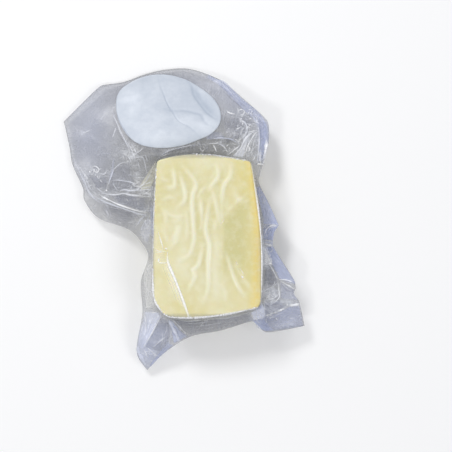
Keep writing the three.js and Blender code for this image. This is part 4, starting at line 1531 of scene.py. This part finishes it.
@dataclass
class VacuumFilm:
    """The two film sheets of the pouch, one closed envelope that meets at the cut edge.

    Attributes:
        form: what the pieces share.
        step: spacing of the spokes at the cut edge.
        face_rings: rings over the face.
        round_rings: rings round the upper rim, and one more on the face's edge.
        tent_rings: rings down the wall.
        flange_rings: rings over the upper sheet's flat part.
        lower_flange_rings: rings over the lower sheet's.
        air: half the gap between the sheets.
        seal_width: how far from the cut edge that gap closes.
        streak_length: length of the streaks on the film.
        side_length: mean length of a side, which sets the grain round the block.
        seed: seed of the scattered folds.
        random_folds: how many of them are drawn.
        pleat_height: how far the small pleats stand out from the wall.
        hem_start: side numbers between which the hem along the head's right edge sets in.
        hem_end: side numbers between which it ends.
        hem_height: how high it is rolled.
        hem_width: how wide it is.
        edge_haze: how much milkier the film is at its cut edge.
        edge_width: how far that reaches.
        crease_haze: how much milkier it is beside its creases.
        milky_and_lit_spots: milky spots, as middle, half sizes and strength; those right of the block are
            painted light that lifts its shade.
        lavenders: lavender ones.
        dense_shade_spots: spots of denser film, which are painted shade, and thinner ones where the strength
            is negative.
        calm_crinkle: how crinkled the rest is.
        crinkles: crinkled spots.
        upper: the upper sheet, once it is built.
        rim: the spokes' places on the cut edge.
    """

    form: PackForm
    step: float = 1.5
    face_rings: int = 44
    round_rings: int = 8
    tent_rings: int = 12
    flange_rings: int = 52
    lower_flange_rings: int = 26
    air: float = 0.35
    seal_width: float = 6.0
    streak_length: float = 6.0
    side_length: float = 105.0
    seed: int = 11
    random_folds: int = 130
    pleat_height: float = 0.35
    hem_start: tuple[float, float] = (4.68, 4.8)
    hem_end: tuple[float, float] = (5.06, 5.12)
    hem_height: float = 2.4
    hem_width: float = 6.5
    edge_haze: float = 0.1
    edge_width: float = 1.1
    crease_haze: float = 0.07
    # Milky spots; the three right of the block are painted light that lifts its shade.
    milky_and_lit_spots: tuple[tuple[float, ...], ...] = (
        (31, 77, 8, 11, 0.15), (-112, 70, 6, 30, 0.1), (-98, 108, 16, 14, 0.1), (46, -34, 6, 22, 0.4),
        (48, -10, 7, 12, 0.5), (49, -20, 5, 9, 0.3), (-26, 69, 20, 6, 0.14), (51, 86, 5, 16, 0.12),
        (-34, -78, 12, 7, 0.12), (66, -66, 16, 12, 0.16), (-50, -90, 10, 18, 0.12),
    )
    lavenders: tuple[tuple[float, ...], ...] = (
        (30, 110, 22, 22, 0.35), (50, 80, 8, 20, 0.9), (55, 10, 12, 30, 1.0), (66, -62, 22, 18, 0.3),
        (-50, -95, 14, 22, 0.9), (-20, 125, 60, 16, 0.4), (-100, 90, 24, 44, 0.5), (43, -67, 8, 9, 0.8),
        (-36, -78, 12, 9, 0.4),
    )
    # Spots of painted shade, where the film is denser and greyer; negative ones are thinner and lighter.
    dense_shade_spots: tuple[tuple[float, ...], ...] = (
        (-74, 44, 28, 22, 0.7), (-58, 76, 18, 14, 0.5), (14, 96, 16, 18, 0.9), (30, 84, 10, 14, 0.4),
        (-100, 108, 18, 14, -0.6), (-5, -77, 42, 7, 0.8),
    )
    calm_crinkle: float = 0.12
    crinkles: tuple[tuple[float, ...], ...] = (
        (30, 76, 13, 16, 0.8), (-60, 36, 22, 20, 0.35), (-62, 72, 12, 20, 0.25), (-94, 44, 10, 22, 0.5),
        (-46, 14, 10, 22, 0.5), (54, -52, 16, 16, 0.7), (48, -12, 8, 40, 0.4), (-38, -82, 18, 16, 0.5),
        (5, -70, 34, 7, 0.35), (-10, 76, 40, 7, 0.3),
    )
    upper: Sheet = field(init=False)
    rim: Array = field(init=False)

    def crumple_folds(self) -> list[Fold]:
        """Short hard folds scattered over the flange, most of them pointing away from the block."""
        rng, count = np.random.default_rng(self.seed), self.random_folds
        middle, along = self.form.scatter(rng, count, self.step, (0.1, 0.95), 0.55)
        arm = along * rng.uniform(3, 12, count)[:, None]
        height = rng.uniform(0.08, 0.32, count) * rng.choice([-1, 1], count)
        width = rng.uniform(1.3, 3.2, count)
        calm = self.form.label.away(middle) > LABEL_MARGIN
        return [
            Fold((tuple(a), tuple(b)), h, w, Crest.SHARP)
            for a, b, h, w in zip((middle - arm)[calm], (middle + arm)[calm], height[calm], width[calm])
        ]

    def cover_sheet(self, side: Array, sign: int, rings: int) -> Array:
        """One sheet from the block's upper rim or its base out to the cut edge.

        Each spoke runs down the wall, where its height falls with a power of the way out through the
        tent, and on over the flange. Small pleats stand out from the wall, and folds lift the flange.

        Args:
            side: the spokes' side numbers.
            sign: 1 for the upper sheet and -1 for the lower one.
            rings: how many rings the flat part has.

        Returns:
            The sheet as rings by spokes.
        """
        block, flange, rim = self.form.block, self.form.flange, self.rim
        root, into = block.outline(side), block.inward(side)
        down = block.edge_round(side)[1]
        width = np.linalg.norm(rim - root, axis=1)
        tent = flange.tent(side, width)
        wall = np.linspace(0, 1, self.tent_rings + 1)[:, None] ** 1.6 * (tent / width)
        flat_part = blend(tent / width, 1.0, np.linspace(0, 1, rings + 1)[1:, None])
        share = np.concatenate([wall, flat_part])
        xy = blend(root, rim, share[..., None])
        walked = share * width
        out = walked / tent
        places = xy.reshape(-1, 2)
        folds = self.crumple_folds() + [
            Fold(c.path, c.fold, 2.0, Crest.SHARP) for c in FLANGE_CREASES if c.fold > 0
        ]
        gap = self.air * ease(width - walked, 0, self.seal_width) * sign
        flat = flange.height(places, self.form.label).reshape(share.shape) + gap
        flat += relief(places, folds).reshape(share.shape) * ease(out, 0.4, 1.3)
        flat = np.maximum(flat + self.hem(side, width - walked), 0.6)
        beat = np.sin(side * 61 + 2.2 * np.sin(side * 23)) * np.sin(side * 17 + 1)
        pleat = self.pleat_height * np.maximum(0, beat) * np.sin(np.pi * np.clip(out, 0, 1))
        held = block.shoulder - down if sign > 0 else np.full(len(side), block.base_round)
        z = blend(flat, held, np.maximum(0, 1 - out) ** flange.tent_fall)
        return np.concatenate([xy - into * pleat[..., None], z[..., None]], axis=2)

    def grids(self) -> tuple[Array, Array]:
        """The upper sheet from the middle of the face to the cut edge, and the lower one back from there
        to the base, both as spokes by rings."""
        block = self.form.block
        self.rim, side = self.form.flange.cut_edge(self.step)
        turns = np.linspace(0, math.pi / 2, self.round_rings, endpoint=False)[1:]
        face = self.form.face_rings(side, 0.0, self.face_rings)
        face += [block.rim_ring(side, 0.0, turn) for turn in turns]
        base = [block.base_ring(side, 0.0, turn) for turn in (math.pi / 4, 0.0)]
        base += [base[-1] * share for share in (0.7, 0.35)]
        under = self.cover_sheet(side, -1, self.lower_flange_rings)[:-1][::-1]
        upper = np.concatenate([face, self.cover_sheet(side, 1, self.flange_rings)])
        return upper.transpose(1, 0, 2), np.concatenate([under, base]).transpose(1, 0, 2)

    def hem(self, side: Array, to_edge: Array) -> Array:
        """The rolled hem along the head's right edge: half a wave high, fading at both of its ends.

        Args:
            side: the spokes' side numbers.
            to_edge: how far each point is from the cut edge.

        Returns:
            How far the hem lifts each point.
        """
        place = np.mod(side - 3.5, 4) + 3.5
        along = ease(place, *self.hem_start) * (1 - ease(place, *self.hem_end))
        return self.hem_height * along * np.sin(np.pi * np.clip(to_edge / self.hem_width, 0, 1))

    def masks(self, verts: Array) -> dict[str, Array]:
        """Masks over the film: how crinkled, milky and lavender it is, how much denser it is, which is
        painted shade, where it is drawn tight over the block, and its grain round the block and out from it.

        Args:
            verts: the film's vertices in millimetres.

        Returns:
            The masks by name; the two of the grain are in side lengths and streak lengths.
        """
        xy = verts[:, :2]
        near_crease = relief(xy, [Fold(c.path, c.cover * c.tone, 2.6) for c in FLANGE_CREASES])
        edge = self.edge_haze * np.exp(-((nearest(xy, self.rim)[1] / self.edge_width) ** 2))
        # Milky spots, some of them painted light, are added to the haze.
        haze = self.crease_haze * np.clip(near_crease, 0, 1.5) + spots(xy, self.milky_and_lit_spots) + edge
        away = self.form.flange.from_block(xy)
        side = np.linspace(0, 4, 1600, endpoint=False)
        around = side[nearest(xy, self.form.block.outline(side))[0]] * self.side_length
        return {
            "crinkle": np.clip(self.calm_crinkle + spots(xy, self.crinkles), 0, 1),
            "dense": spots(xy, self.dense_shade_spots),
            "haze": np.clip(haze, 0, 1),
            "lavender": np.clip(spots(xy, self.lavenders), 0, 1),
            "tight": (1 - ease(away, 0.0, 2.0)) * ease(verts[:, 2], 26, 34),
            "around": around,
            "out": away / self.streak_length,
        }

    def build(self, crumple: Tree) -> Piece:
        """The dressed film, which stands for the source's sealed bag."""
        top, low = self.grids()
        self.upper = Sheet(top)
        block = self.form.block
        spokes, rings = top.shape[0], top.shape[1] + low.shape[1]
        grid = np.concatenate([top, low], axis=1).reshape(-1, 3)
        verts = np.concatenate([[[0, 0, block.shoulder + block.crown]], grid, [[0, 0, 0]]])
        piece = make_mesh("vacuum_film", verts, spoke_faces(spokes, rings), self.masks(verts))
        piece.data.materials.append(FilmFinish().build(crumple))
        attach(piece, ROOT)
        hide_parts("sealed_bag")
        return piece


def ribbon(path: Array, normals: Array, half: Array, rise: Array, sides: int) -> tuple[Array, list[Array]]:
    """A closed thin body along a path: a flattened ring of points round each path point.

    A ring's points go round by equal angles: half times the cosine across the path, and rise times the
    sine along the normal. The first and the last ring shrink to small ends that are closed.

    Args:
        path: the points that it follows.
        normals: the surface's normal at each point.
        half: half its width at each point.
        rise: its height over the path at each point.
        sides: how many points go round.

    Returns:
        The vertices and the faces.
    """
    across = unit(np.cross(normals, unit(np.gradient(path, axis=0))))
    turn = np.linspace(0, 2 * math.pi, sides, endpoint=False)
    ring = (
        path[:, None, :]
        + across[:, None, :] * (half[:, None] * np.cos(turn))[..., None]
        + normals[:, None, :] * (rise[:, None] * np.sin(turn))[..., None]
    )
    count = len(path)
    here = np.arange(count)[:, None] * sides + np.arange(sides)[None, :]
    after = np.roll(here, -1, axis=1)
    quads = np.stack([here[:-1], after[:-1], after[1:], here[1:]], axis=2).reshape(-1, 4)
    hub = count * sides
    first = np.stack([np.full(sides, hub), after[0], here[0]], axis=1)
    last = np.stack([np.full(sides, hub + 1), here[-1], after[-1]], axis=1)
    verts = np.concatenate([ring.reshape(-1, 3), path[:1], path[-1:]])
    return verts, [quads, first, last]


@dataclass
class Bundle:
    """Thin closed bodies gathered into one piece, with their cover, tone and grain."""

    verts: list[Array] = field(default_factory=list)
    faces: list[Array] = field(default_factory=list)
    masks: dict[str, list[Array]] = field(default_factory=dict)
    count: int = 0

    def take(self, verts: Array, faces: list[Array], **masks: Array | float) -> None:
        """Adds one body.

        Args:
            verts: its vertices.
            faces: its faces.
            masks: cover, tone, how worn through its cover is, and along and across, which place its
                grain in millimetres.
        """
        self.verts.append(verts)
        self.faces += [part + self.count for part in faces]
        for key, values in masks.items():
            self.masks.setdefault(key, []).append(np.broadcast_to(values, len(verts)))
        self.count += len(verts)

    def mesh(self, name: str) -> Piece:
        """All the bodies as one piece that rides with the pack."""
        masks = {key: np.concatenate(values) for key, values in self.masks.items()}
        piece = make_mesh(name, np.concatenate(self.verts), self.faces, masks)
        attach(piece, ROOT)
        return piece


@dataclass
class FilmPanels:
    """The patches of film that lie double or turned over, laid on the upper sheet, with patches of painted
    shade and painted light among them.

    Attributes:
        film: the film that they lie on.
        step: spacing of the points along a patch.
        across: how many points go across it.
        lift: how far its under side stands over the film.
        thick: how thick it is.
        grain: length of its streaks.
        spread: how far apart the patches' grain is placed.
        worn: how worn through they are.
    """

    film: VacuumFilm
    step: float = 1.2
    across: int = 9
    lift: float = 0.05
    thick: float = 0.06
    grain: float = 6.0
    spread: float = 37.0
    worn: float = 0.3

    def patch(self, panel: Panel) -> tuple[Array, list[Array], dict[str, Array]]:
        """One thin closed patch between its two lines.

        Places run straight from one line to the other. The upper grid and the lower one, which is
        turned over, are joined round their rims.

        Args:
            panel: the patch to make.

        Returns:
            The vertices, the faces and the masks but for the tone.
        """
        steps = [np.diff(np.array(p), axis=0) for p in (panel.left, panel.right)]
        rows = max(4, int(max(np.linalg.norm(s, axis=1).sum() for s in steps) / self.step))
        left, right = even_path(panel.left, rows), even_path(panel.right, rows)
        share = np.linspace(0, 1, self.across)[None, :, None]
        xy = blend(left[:, None], right[:, None], share)
        turned = np.cross(right[rows // 2] - left[rows // 2], left[-1] - left[0]) < 0
        if turned:
            xy = xy[:, ::-1]
        points, _ = self.film.upper.lay(xy.reshape(-1, 2))
        low, top = points.copy(), points.copy()
        low[:, 2] += self.lift
        top[:, 2] += self.lift + self.thick
        index = np.arange(rows * self.across).reshape(rows, self.across)
        corners = [index[:-1, :-1], index[:-1, 1:], index[1:, 1:], index[1:, :-1]]
        upper = np.stack(corners, axis=2).reshape(-1, 4)
        size = rows * self.across
        rim = np.concatenate([index[0, :-1], index[:-1, -1], index[-1, :0:-1], index[:0:-1, 0]])
        after = np.roll(rim, -1)
        wall = np.stack([rim, rim + size, after + size, after], axis=1)
        ends = np.clip(np.minimum(np.linspace(0, 1, rows), np.linspace(1, 0, rows)) / panel.fade, 0, 1)
        sides = panel.cover[::-1] if turned else panel.cover
        cover = ends[:, None] * np.linspace(sides[0], sides[1], self.across)[None, :]
        width = np.linalg.norm(xy[:, -1] - xy[:, 0], axis=1)[:, None]
        down = np.broadcast_to(np.arange(rows)[:, None] * self.step / self.grain, cover.shape)
        masks = {"cover": cover, "along": down, "across": width * share[:, :, 0]}
        faces = [upper, upper[:, ::-1] + size, wall]
        return np.concatenate([top, low]), faces, {k: np.tile(v.ravel(), 2) for k, v in masks.items()}

    def build(self, crumple: Tree) -> Piece:
        """The dressed patches as one piece."""
        bundle = Bundle()
        for number, panel in enumerate(PANELS):
            verts, faces, masks = self.patch(panel)
            masks["across"] = masks["across"] + number * self.spread
            bundle.take(verts, faces, tone=panel.tone, worn=self.worn, **masks)
        piece = bundle.mesh("film_panels")
        # Grey-black patches are painted shade and white ones painted highlight and painted light.
        piece.data.materials.append(FoldFinish(streaks=0.3).build("turned_film_shade_and_glints", crumple))
        return piece


@dataclass
class FilmCreases:
    """The pale pinched crests of the film's creases, laid on its upper sheet: their white is painted
    highlight as well as whitened film, and their grey-black tones are painted shade.

    Attributes:
        film: the film that they lie on.
        step: spacing of the points along a crest.
        lift: how far a crest's middle stands over the film.
        sides: how many points go round a crest.
        steepness: a crest's rise as a share of its half width.
        highest: the most that it rises.
        worn: how worn through the drawn and scattered creases are.
        seed: seed of the scattered creases.
        hairs: how many fine ones are drawn.
        pinches: short pinches over the block's edge, as first and last side number, count and cover.
        rim_lean: share of the round-over's lean that a line along it takes.
        rim_glint_lines: lines along the block's edge, painted highlight of the film's bend there, as first
            and last
        side number, width, cover, degrees down the round-over, and how worn through they are.
        scribbles: curled creases, as middle, half sizes, count and cover.
    """

    film: VacuumFilm
    step: float = 0.9
    lift: float = 0.22
    sides: int = 6
    steepness: float = 0.4
    highest: float = 0.2
    worn: float = 0.25
    seed: int = 5
    hairs: int = 220
    pinches: tuple[tuple[float, float, int, float], ...] = (
        (1.05, 1.97, 70, 0.6), (2.02, 2.96, 260, 0.95), (2.96, 3.3, 90, 0.8), (3.3, 3.98, 90, 0.6),
        (4.4, 4.97, 70, 0.6),
    )
    rim_lean: float = 0.6
    rim_glint_lines: tuple[tuple[float, float, float, float, float, float], ...] = (
        (1.02, 1.975, 1.45, 0.95, 46, 0.3), (2.03, 2.94, 1.9, 0.8, 40, 0.8),
        (2.94, 3.3, 1.8, 0.85, 45, 0.6), (3.3, 3.98, 0.9, 0.6, 50, 0.8), (4.5, 4.98, 0.9, 0.5, 50, 0.8),
    )
    scribbles: tuple[tuple[float, float, float, float, int, float], ...] = (
        (32.2, 89.3, 7, 13, 44, 0.8), (51.3, -47.6, 4.5, 4.5, 40, 0.85), (49.5, -17.7, 3, 5, 22, 0.85),
        (-56.6, 39.5, 8, 7, 44, 0.6), (-93.5, 53.3, 7, 5, 16, 0.7), (-66, 66, 8, 8, 22, 0.45),
        (-50.8, -98, 5, 5, 14, 0.6), (-44.1, -71.7, 6, 4, 16, 0.6), (14, 72.7, 13, 3, 26, 0.6),
        (48, -66.7, 8, 2.5, 14, 0.6), (-47, 12, 4, 16, 24, 0.5), (-100, 40, 5, 12, 16, 0.5),
    )

    def hair_creases(self) -> list[Crease]:
        """Fine short creases scattered over the flange."""
        rng, count = np.random.default_rng(self.seed), self.hairs
        form = self.film.form
        middle, along = form.scatter(rng, count, self.film.step, (0.2, 0.9), 0.5)
        arm = along * rng.uniform(2, 6, count)[:, None]
        bow = left(along) * rng.normal(0, 0.8, count)[:, None]
        cover = rng.uniform(0.1, 0.45, count)
        clear = form.label.away(middle) > LABEL_MARGIN
        paths = np.stack([middle - arm, middle + bow, middle + arm], axis=1)
        return [
            Crease(tuple(map(tuple, path)), 0.45, float(share), 0.95, 0)
            for path, share, kept in zip(paths, cover, clear & self.on_film(paths))
            if kept
        ]

    def on_film(self, paths: Array) -> Array:
        """Whether all points of each path lie well inside the cut edge."""
        rim, side = self.film.form.flange.cut_edge(self.film.step)
        limit = blend(self.film.form.block.outline(side), rim, 0.97)
        return inside(paths.reshape(-1, 2), limit).reshape(paths.shape[:2]).all(1)

    def curled_creases(self) -> list[Crease]:
        """Short bright arcs in the most crumpled places: each a part of a circle, turned at random."""
        rng = np.random.default_rng(self.seed + 3)
        made = []
        for x, y, half_x, half_y, count, cover in self.scribbles:
            middle = rng.normal(0, 0.6, (count, 2)) * (half_x, half_y) + (x, y)
            radius = rng.uniform(1.6, 7.0, count)
            first = rng.uniform(0, 2 * math.pi, count)
            sweep = rng.uniform(1.6, 3.8, count) / radius**0.8
            turn = first[:, None] + sweep[:, None] * np.linspace(0, 1, 5)
            arc = np.stack([np.cos(turn), np.sin(turn)], 2)
            arc -= np.stack([np.cos(first), np.sin(first)], 1)[:, None]
            paths = middle[:, None] + arc * radius[:, None, None]
            strength = cover * rng.uniform(0.4, 1.1, count)
            width = rng.uniform(0.4, 0.85, count)
            made += [
                Crease(tuple(map(tuple, path)), float(w), float(s), 1.0, 0)
                for path, w, s, kept in zip(paths, width, strength, self.on_film(paths))
                if kept
            ]
        return made

    def edge_pinches(self) -> list[Crease]:
        """Short pinches where the film bends over the block's upper edge."""
        rng = np.random.default_rng(self.seed + 2)
        block = self.film.form.block
        made = []
        for first, last, count, strength in self.pinches:
            side = rng.uniform(first, last, count)
            root, into = block.outline(side), block.inward(side)
            slant = -left(into) * rng.normal(0, 1.3, count)[:, None]
            start = root + into * rng.uniform(0.3, 1.7, count)[:, None]
            end = root + into * rng.uniform(-0.5, 0.3, count)[:, None] + slant
            width, cover = rng.uniform(0.4, 0.95, count), strength * rng.uniform(0.4, 1.05, count)
            made += [
                Crease((tuple(a), tuple((a + b) / 2), tuple(b)), float(w), float(c), 1.0, 0)
                for a, b, w, c in zip(start, end, width, cover)
            ]
        return made

    def rim_line(self, start: float, end: float, degrees: float) -> tuple[Array, Array]:
        """Points and normals along the block's upper round-over.

        Args:
            start: the side number at which the line starts.
            end: the side number at which it ends.
            degrees: where on the round-over it lies, from 0 on the face to 90 on the wall.

        Returns:
            The points, and normals that lean out by rim_lean of the round-over's own lean.
        """
        block = self.film.form.block
        side = np.linspace(start, end, int((end - start) * 100))
        turn = math.radians(degrees)
        lean = turn * self.rim_lean
        outward = -block.inward(side) * math.sin(lean)
        normals = np.column_stack([outward, np.full(len(side), math.cos(lean))])
        return block.rim_ring(side, 0.0, turn), normals

    def build(self, crumple: Tree) -> Piece:
        """The dressed creases as one piece."""
        bundle = Bundle()
        rng = np.random.default_rng(self.seed + 1)
        lines = []
        random = self.hair_creases() + self.curled_creases() + self.edge_pinches()
        for crease in (*FLANGE_CREASES, *FACE_CREASES, *random):
            points, normals = self.film.upper.lay(smooth_path(crease.path, self.step))
            look = (crease.width, min(1.0, crease.cover), crease.tone, self.worn)
            lines.append((points, normals, *look))
        # The lines along the block's edge are painted highlight of the film's bend there.
        for start, end, width, cover, degrees, worn in self.rim_glint_lines:
            lines.append((*self.rim_line(start, end, degrees), width, cover, 1.0, worn))
        for points, normals, width, cover, tone, worn in lines:
            share = np.linspace(0, 1, len(points))
            taper = np.sin(math.pi * np.clip(share, 0.03, 0.97)) ** 0.4
            swell = 1 + 0.3 * np.sin(share * rng.uniform(8, 20) + rng.uniform(0, 6))
            half = width / 2 * taper * swell
            rise = np.minimum(half * self.steepness, self.highest)
            verts, faces = ribbon(points + normals * self.lift, normals, half, rise, self.sides)
            strength = np.append(np.repeat(cover * taper, self.sides), [0, 0])
            walked = np.append(np.repeat(share * len(points) * self.step, self.sides), [0, 0])
            place = {"along": walked, "across": rng.uniform(0, 900)}
            bundle.take(verts, faces, cover=strength, tone=tone, worn=worn, **place)
        piece = bundle.mesh("film_creases")
        # Pale crests are painted highlight as well as whitened film; grey-black ones are painted shade.
        piece.data.materials.append(FoldFinish().build("pinched_film_shade_and_glints", crumple))
        return piece


# ---- The label --------------------------------------------------------------------------------------


@dataclass
class OvalLabel:
    """The blank oval label, stuck on the head flap's upper film."""

    film: VacuumFilm
    spokes: int = 180
    rings: int = 40
    thick: float = 0.12
    gap: float = 0.06
    arch: float = 0.42
    pale_spots: tuple[tuple[float, ...], ...] = (
        (-53, 79.5, 9, 4, 0.5), (-43, 84, 9, 4, 0.4), (-34, 87, 8, 5, 0.35), (-27, 81, 10, 4, 0.3),
        (-20, 96.5, 7, 4, 0.4), (-28, 99, 14, 9, 0.25), (-1, 90.5, 7, 5, 0.6), (-66, 106, 10, 12, 0.2),
    )
    creases: tuple[Fold, ...] = (
        Fold(
            (
                (-43.4, 136.5), (-41.7, 129.4), (-39.9, 124.2), (-37.3, 118.1), (-34.6, 111.1),
                (-31.6, 105.8), (-28.6, 101.4), (-26.4, 97.4), (-22.6, 93.9), (-14.2, 89.2),
                (-6, 80),
            ), -0.32, 1.1, Crest.SHARP,
        ),
        Fold(
            (
                (-19.8, 132.9), (-14.6, 126.6), (-12.9, 119.4), (-9.4, 113.4), (-5.8, 108.2),
                (-0.6, 101.8), (4.8, 97.6), (12, 94.9),
            ), -0.42, 1.2, Crest.SHARP,
        ),
        Fold(
            (
                (-36, 106), (-29, 104.2), (-20, 104.2), (-12, 102.4), (-5.8, 100.6),
                (-3.4, 95.1), (8.2, 87.1),
            ), -0.24, 1.3,
        ),
        Fold(((-18, 131), (-11, 122), (-5, 112), (1.5, 103.5), (10, 97)), -0.3, 3.2),
        Fold(((-46, 108), (-38, 107), (-30, 103)), -0.16, 4),
        Fold(((-60.4, 76.4), (-48.1, 82.5), (-37.4, 87.5), (-24.5, 91.9)), 0.3, 4),
        Fold(((-62, 118), (-55, 104)), 0.25, 5),
    )

    def build(self, crumple: Tree) -> Piece:
        """The dressed label: rings of the oval laid over the film, with its creases pressed in."""
        label = self.film.form.label
        edge = label.outline(self.spokes)
        shares = np.linspace(0, 1, self.rings + 1)[1:]
        flat = blend(np.array(label.centre), edge[:, None, :], shares[:, None])
        xy = np.concatenate([[label.centre], flat.reshape(-1, 2)])
        share = np.concatenate([[0], np.tile(shares, self.spokes)])
        raised = self.gap + self.arch * (1 - share**6)
        bent = np.maximum(relief(xy, self.creases), -raised + 0.06)
        under = self.film.form.flange.height(xy, label) + self.film.air
        low = np.column_stack([xy, under + raised + bent])
        top = low + (0, 0, self.thick)
        grid = top[1:].reshape(self.spokes, self.rings, 3)
        back = low[1:].reshape(self.spokes, self.rings, 3)[:, ::-1]
        both = np.concatenate([grid, back], axis=1)
        verts = np.concatenate([top[:1], both.reshape(-1, 3), low[:1]])
        # Painted shade: darker in the pressed creases and towards the label's right side.
        pressed = np.clip(-relief(verts[:, :2], self.creases), 0, 0.6)
        rim = np.tile(ease(np.concatenate([shares, shares[::-1]]), 0.965, 0.99), self.spokes)
        pale = 0.3 * np.concatenate([[0], rim, [0]]) + spots(verts[:, :2], self.pale_spots)
        painted_side_shade = 0.12 * ease(verts[:, 0], -45, 5)
        masks = {"crease": pressed * 2.3 + painted_side_shade, "pale": np.clip(pale, 0, 1)}
        piece = make_mesh("label_sheet", verts, spoke_faces(self.spokes, 2 * self.rings), masks)
        piece.data.materials.append(LabelFinish().build(crumple))
        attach(piece, ROOT)
        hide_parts("oval_label")
        return piece


# ---- The studio -------------------------------------------------------------------------------------


@dataclass
class Studio:
    """Pale floor, soft lights and the camera straight above.

    Attributes:
        photo_width: the photo's width in pixels.
        mm_per_pixel: the photo's scale at the height of the face.
        middle: the place under the camera.
        camera_height: how high the camera is.
        face_height: how high the pack's face is.
        sensor: the camera sensor's width.
        floor_radius: the floor's radius.
        floor_sides: how many sides it has.
        floor_height: its height, just under the pack.
        floor_colour: its colour.
        lights: each light's name, place in metres, side in metres and power in watts.
        aim_height: the height that the lights look at.
        sky: the world's colour.
        sky_strength: its strength.
    """

    photo_width: int = 452
    mm_per_pixel: float = 0.8
    middle: tuple[float, float] = (14.8, 8.0)
    camera_height: float = 900
    face_height: float = 50
    sensor: float = 36
    floor_radius: float = 2600
    floor_sides: int = 96
    floor_height: float = -0.05
    floor_colour: Colour = (0.93, 0.93, 0.93)
    lights: tuple[tuple[str, Colour, float, float], ...] = (
        ("key", (-0.75, -0.75, 1.45), 0.3, 6.6),
        ("soft", (-0.6, 1.1, 1.25), 0.4, 14.6),
        ("fill", (0.9, -0.3, 1.3), 0.6, 5.4),
    )
    aim_height: float = 30
    sky: Colour = (0.95, 0.96, 1.0)
    sky_strength: float = 0.4

    def camera(self) -> None:
        """The camera looks straight down; its lens gives mm_per_pixel at the height of the face."""
        data = bpy.data.cameras.new("camera")
        data.sensor_width = self.sensor
        seen = self.photo_width * self.mm_per_pixel
        data.lens = self.sensor * (self.camera_height - self.face_height) / seen
        camera = bpy.data.objects.new("camera", data)
        camera.location = (self.middle[0] * MM, self.middle[1] * MM, self.camera_height * MM)
        bpy.context.scene.collection.objects.link(camera)
        bpy.context.scene.camera = camera

    def floor(self) -> None:
        """A wide pale disc that the pack lies on."""
        turn = np.linspace(0, 2 * math.pi, self.floor_sides, endpoint=False)
        xy = self.floor_radius * np.column_stack([np.cos(turn), np.sin(turn)])
        ring = np.column_stack([xy, np.full(len(xy), self.floor_height)])
        floor = make_mesh("floor", ring, [np.arange(len(ring))[None, :]])
        material, _, shader = new_material("floor")
        shader.inputs["Base Color"].default_value = (*self.floor_colour, 1)
        shader.inputs["Roughness"].default_value = 0.9
        shader.inputs["Specular IOR Level"].default_value = 0.1
        floor.data.materials.append(material)

    def area(self, name: str, place: Colour, size: float, power: float) -> None:
        """A square soft light that looks at the pack.

        Args:
            name: its name.
            place: where it hangs, in metres.
            size: its side, in metres.
            power: its power in watts.
        """
        data = bpy.data.lights.new(name, "AREA")
        data.size, data.energy = size, power
        light = bpy.data.objects.new(name, data)
        light.location = place
        aim = np.subtract((0, 0, self.aim_height * MM), place)
        tilt = math.acos(-aim[2] / np.linalg.norm(aim))
        light.rotation_euler = (tilt, 0, math.atan2(aim[1], aim[0]) - math.pi / 2)
        bpy.context.scene.collection.objects.link(light)

    def build(self) -> None:
        """Floor, lights, world and camera."""
        self.floor()
        self.camera()
        for light in self.lights:
            self.area(*light)
        world = bpy.data.worlds.new("studio")
        world.use_nodes = True
        background = world.node_tree.nodes["Background"]
        background.inputs["Color"].default_value = (*self.sky, 1)
        background.inputs["Strength"].default_value = self.sky_strength
        scene = bpy.context.scene
        scene.world = world
        scene.view_settings.view_transform = "Standard"
        scene.cycles.transparent_max_bounces = 24


# ---- Putting it together ----------------------------------------------------------------------------


def main() -> None:
    """Builds the pieces in order and reports each."""
    logging.basicConfig(level=logging.INFO, format="%(message)s")
    Studio().build()
    form = PackForm()
    crumple = crumple_group()
    film = VacuumFilm(form)
    makers = (
        CheeseBlock(form).build,
        lambda: film.build(crumple),
        lambda: FilmPanels(film).build(crumple),
        lambda: FilmCreases(film).build(crumple),
        lambda: OvalLabel(film).build(crumple),
    )
    for make in makers:
        piece = make()
        LOG.info("%s: %d faces", piece.name, len(piece.data.polygons))


if __name__ == "__main__":
    main()
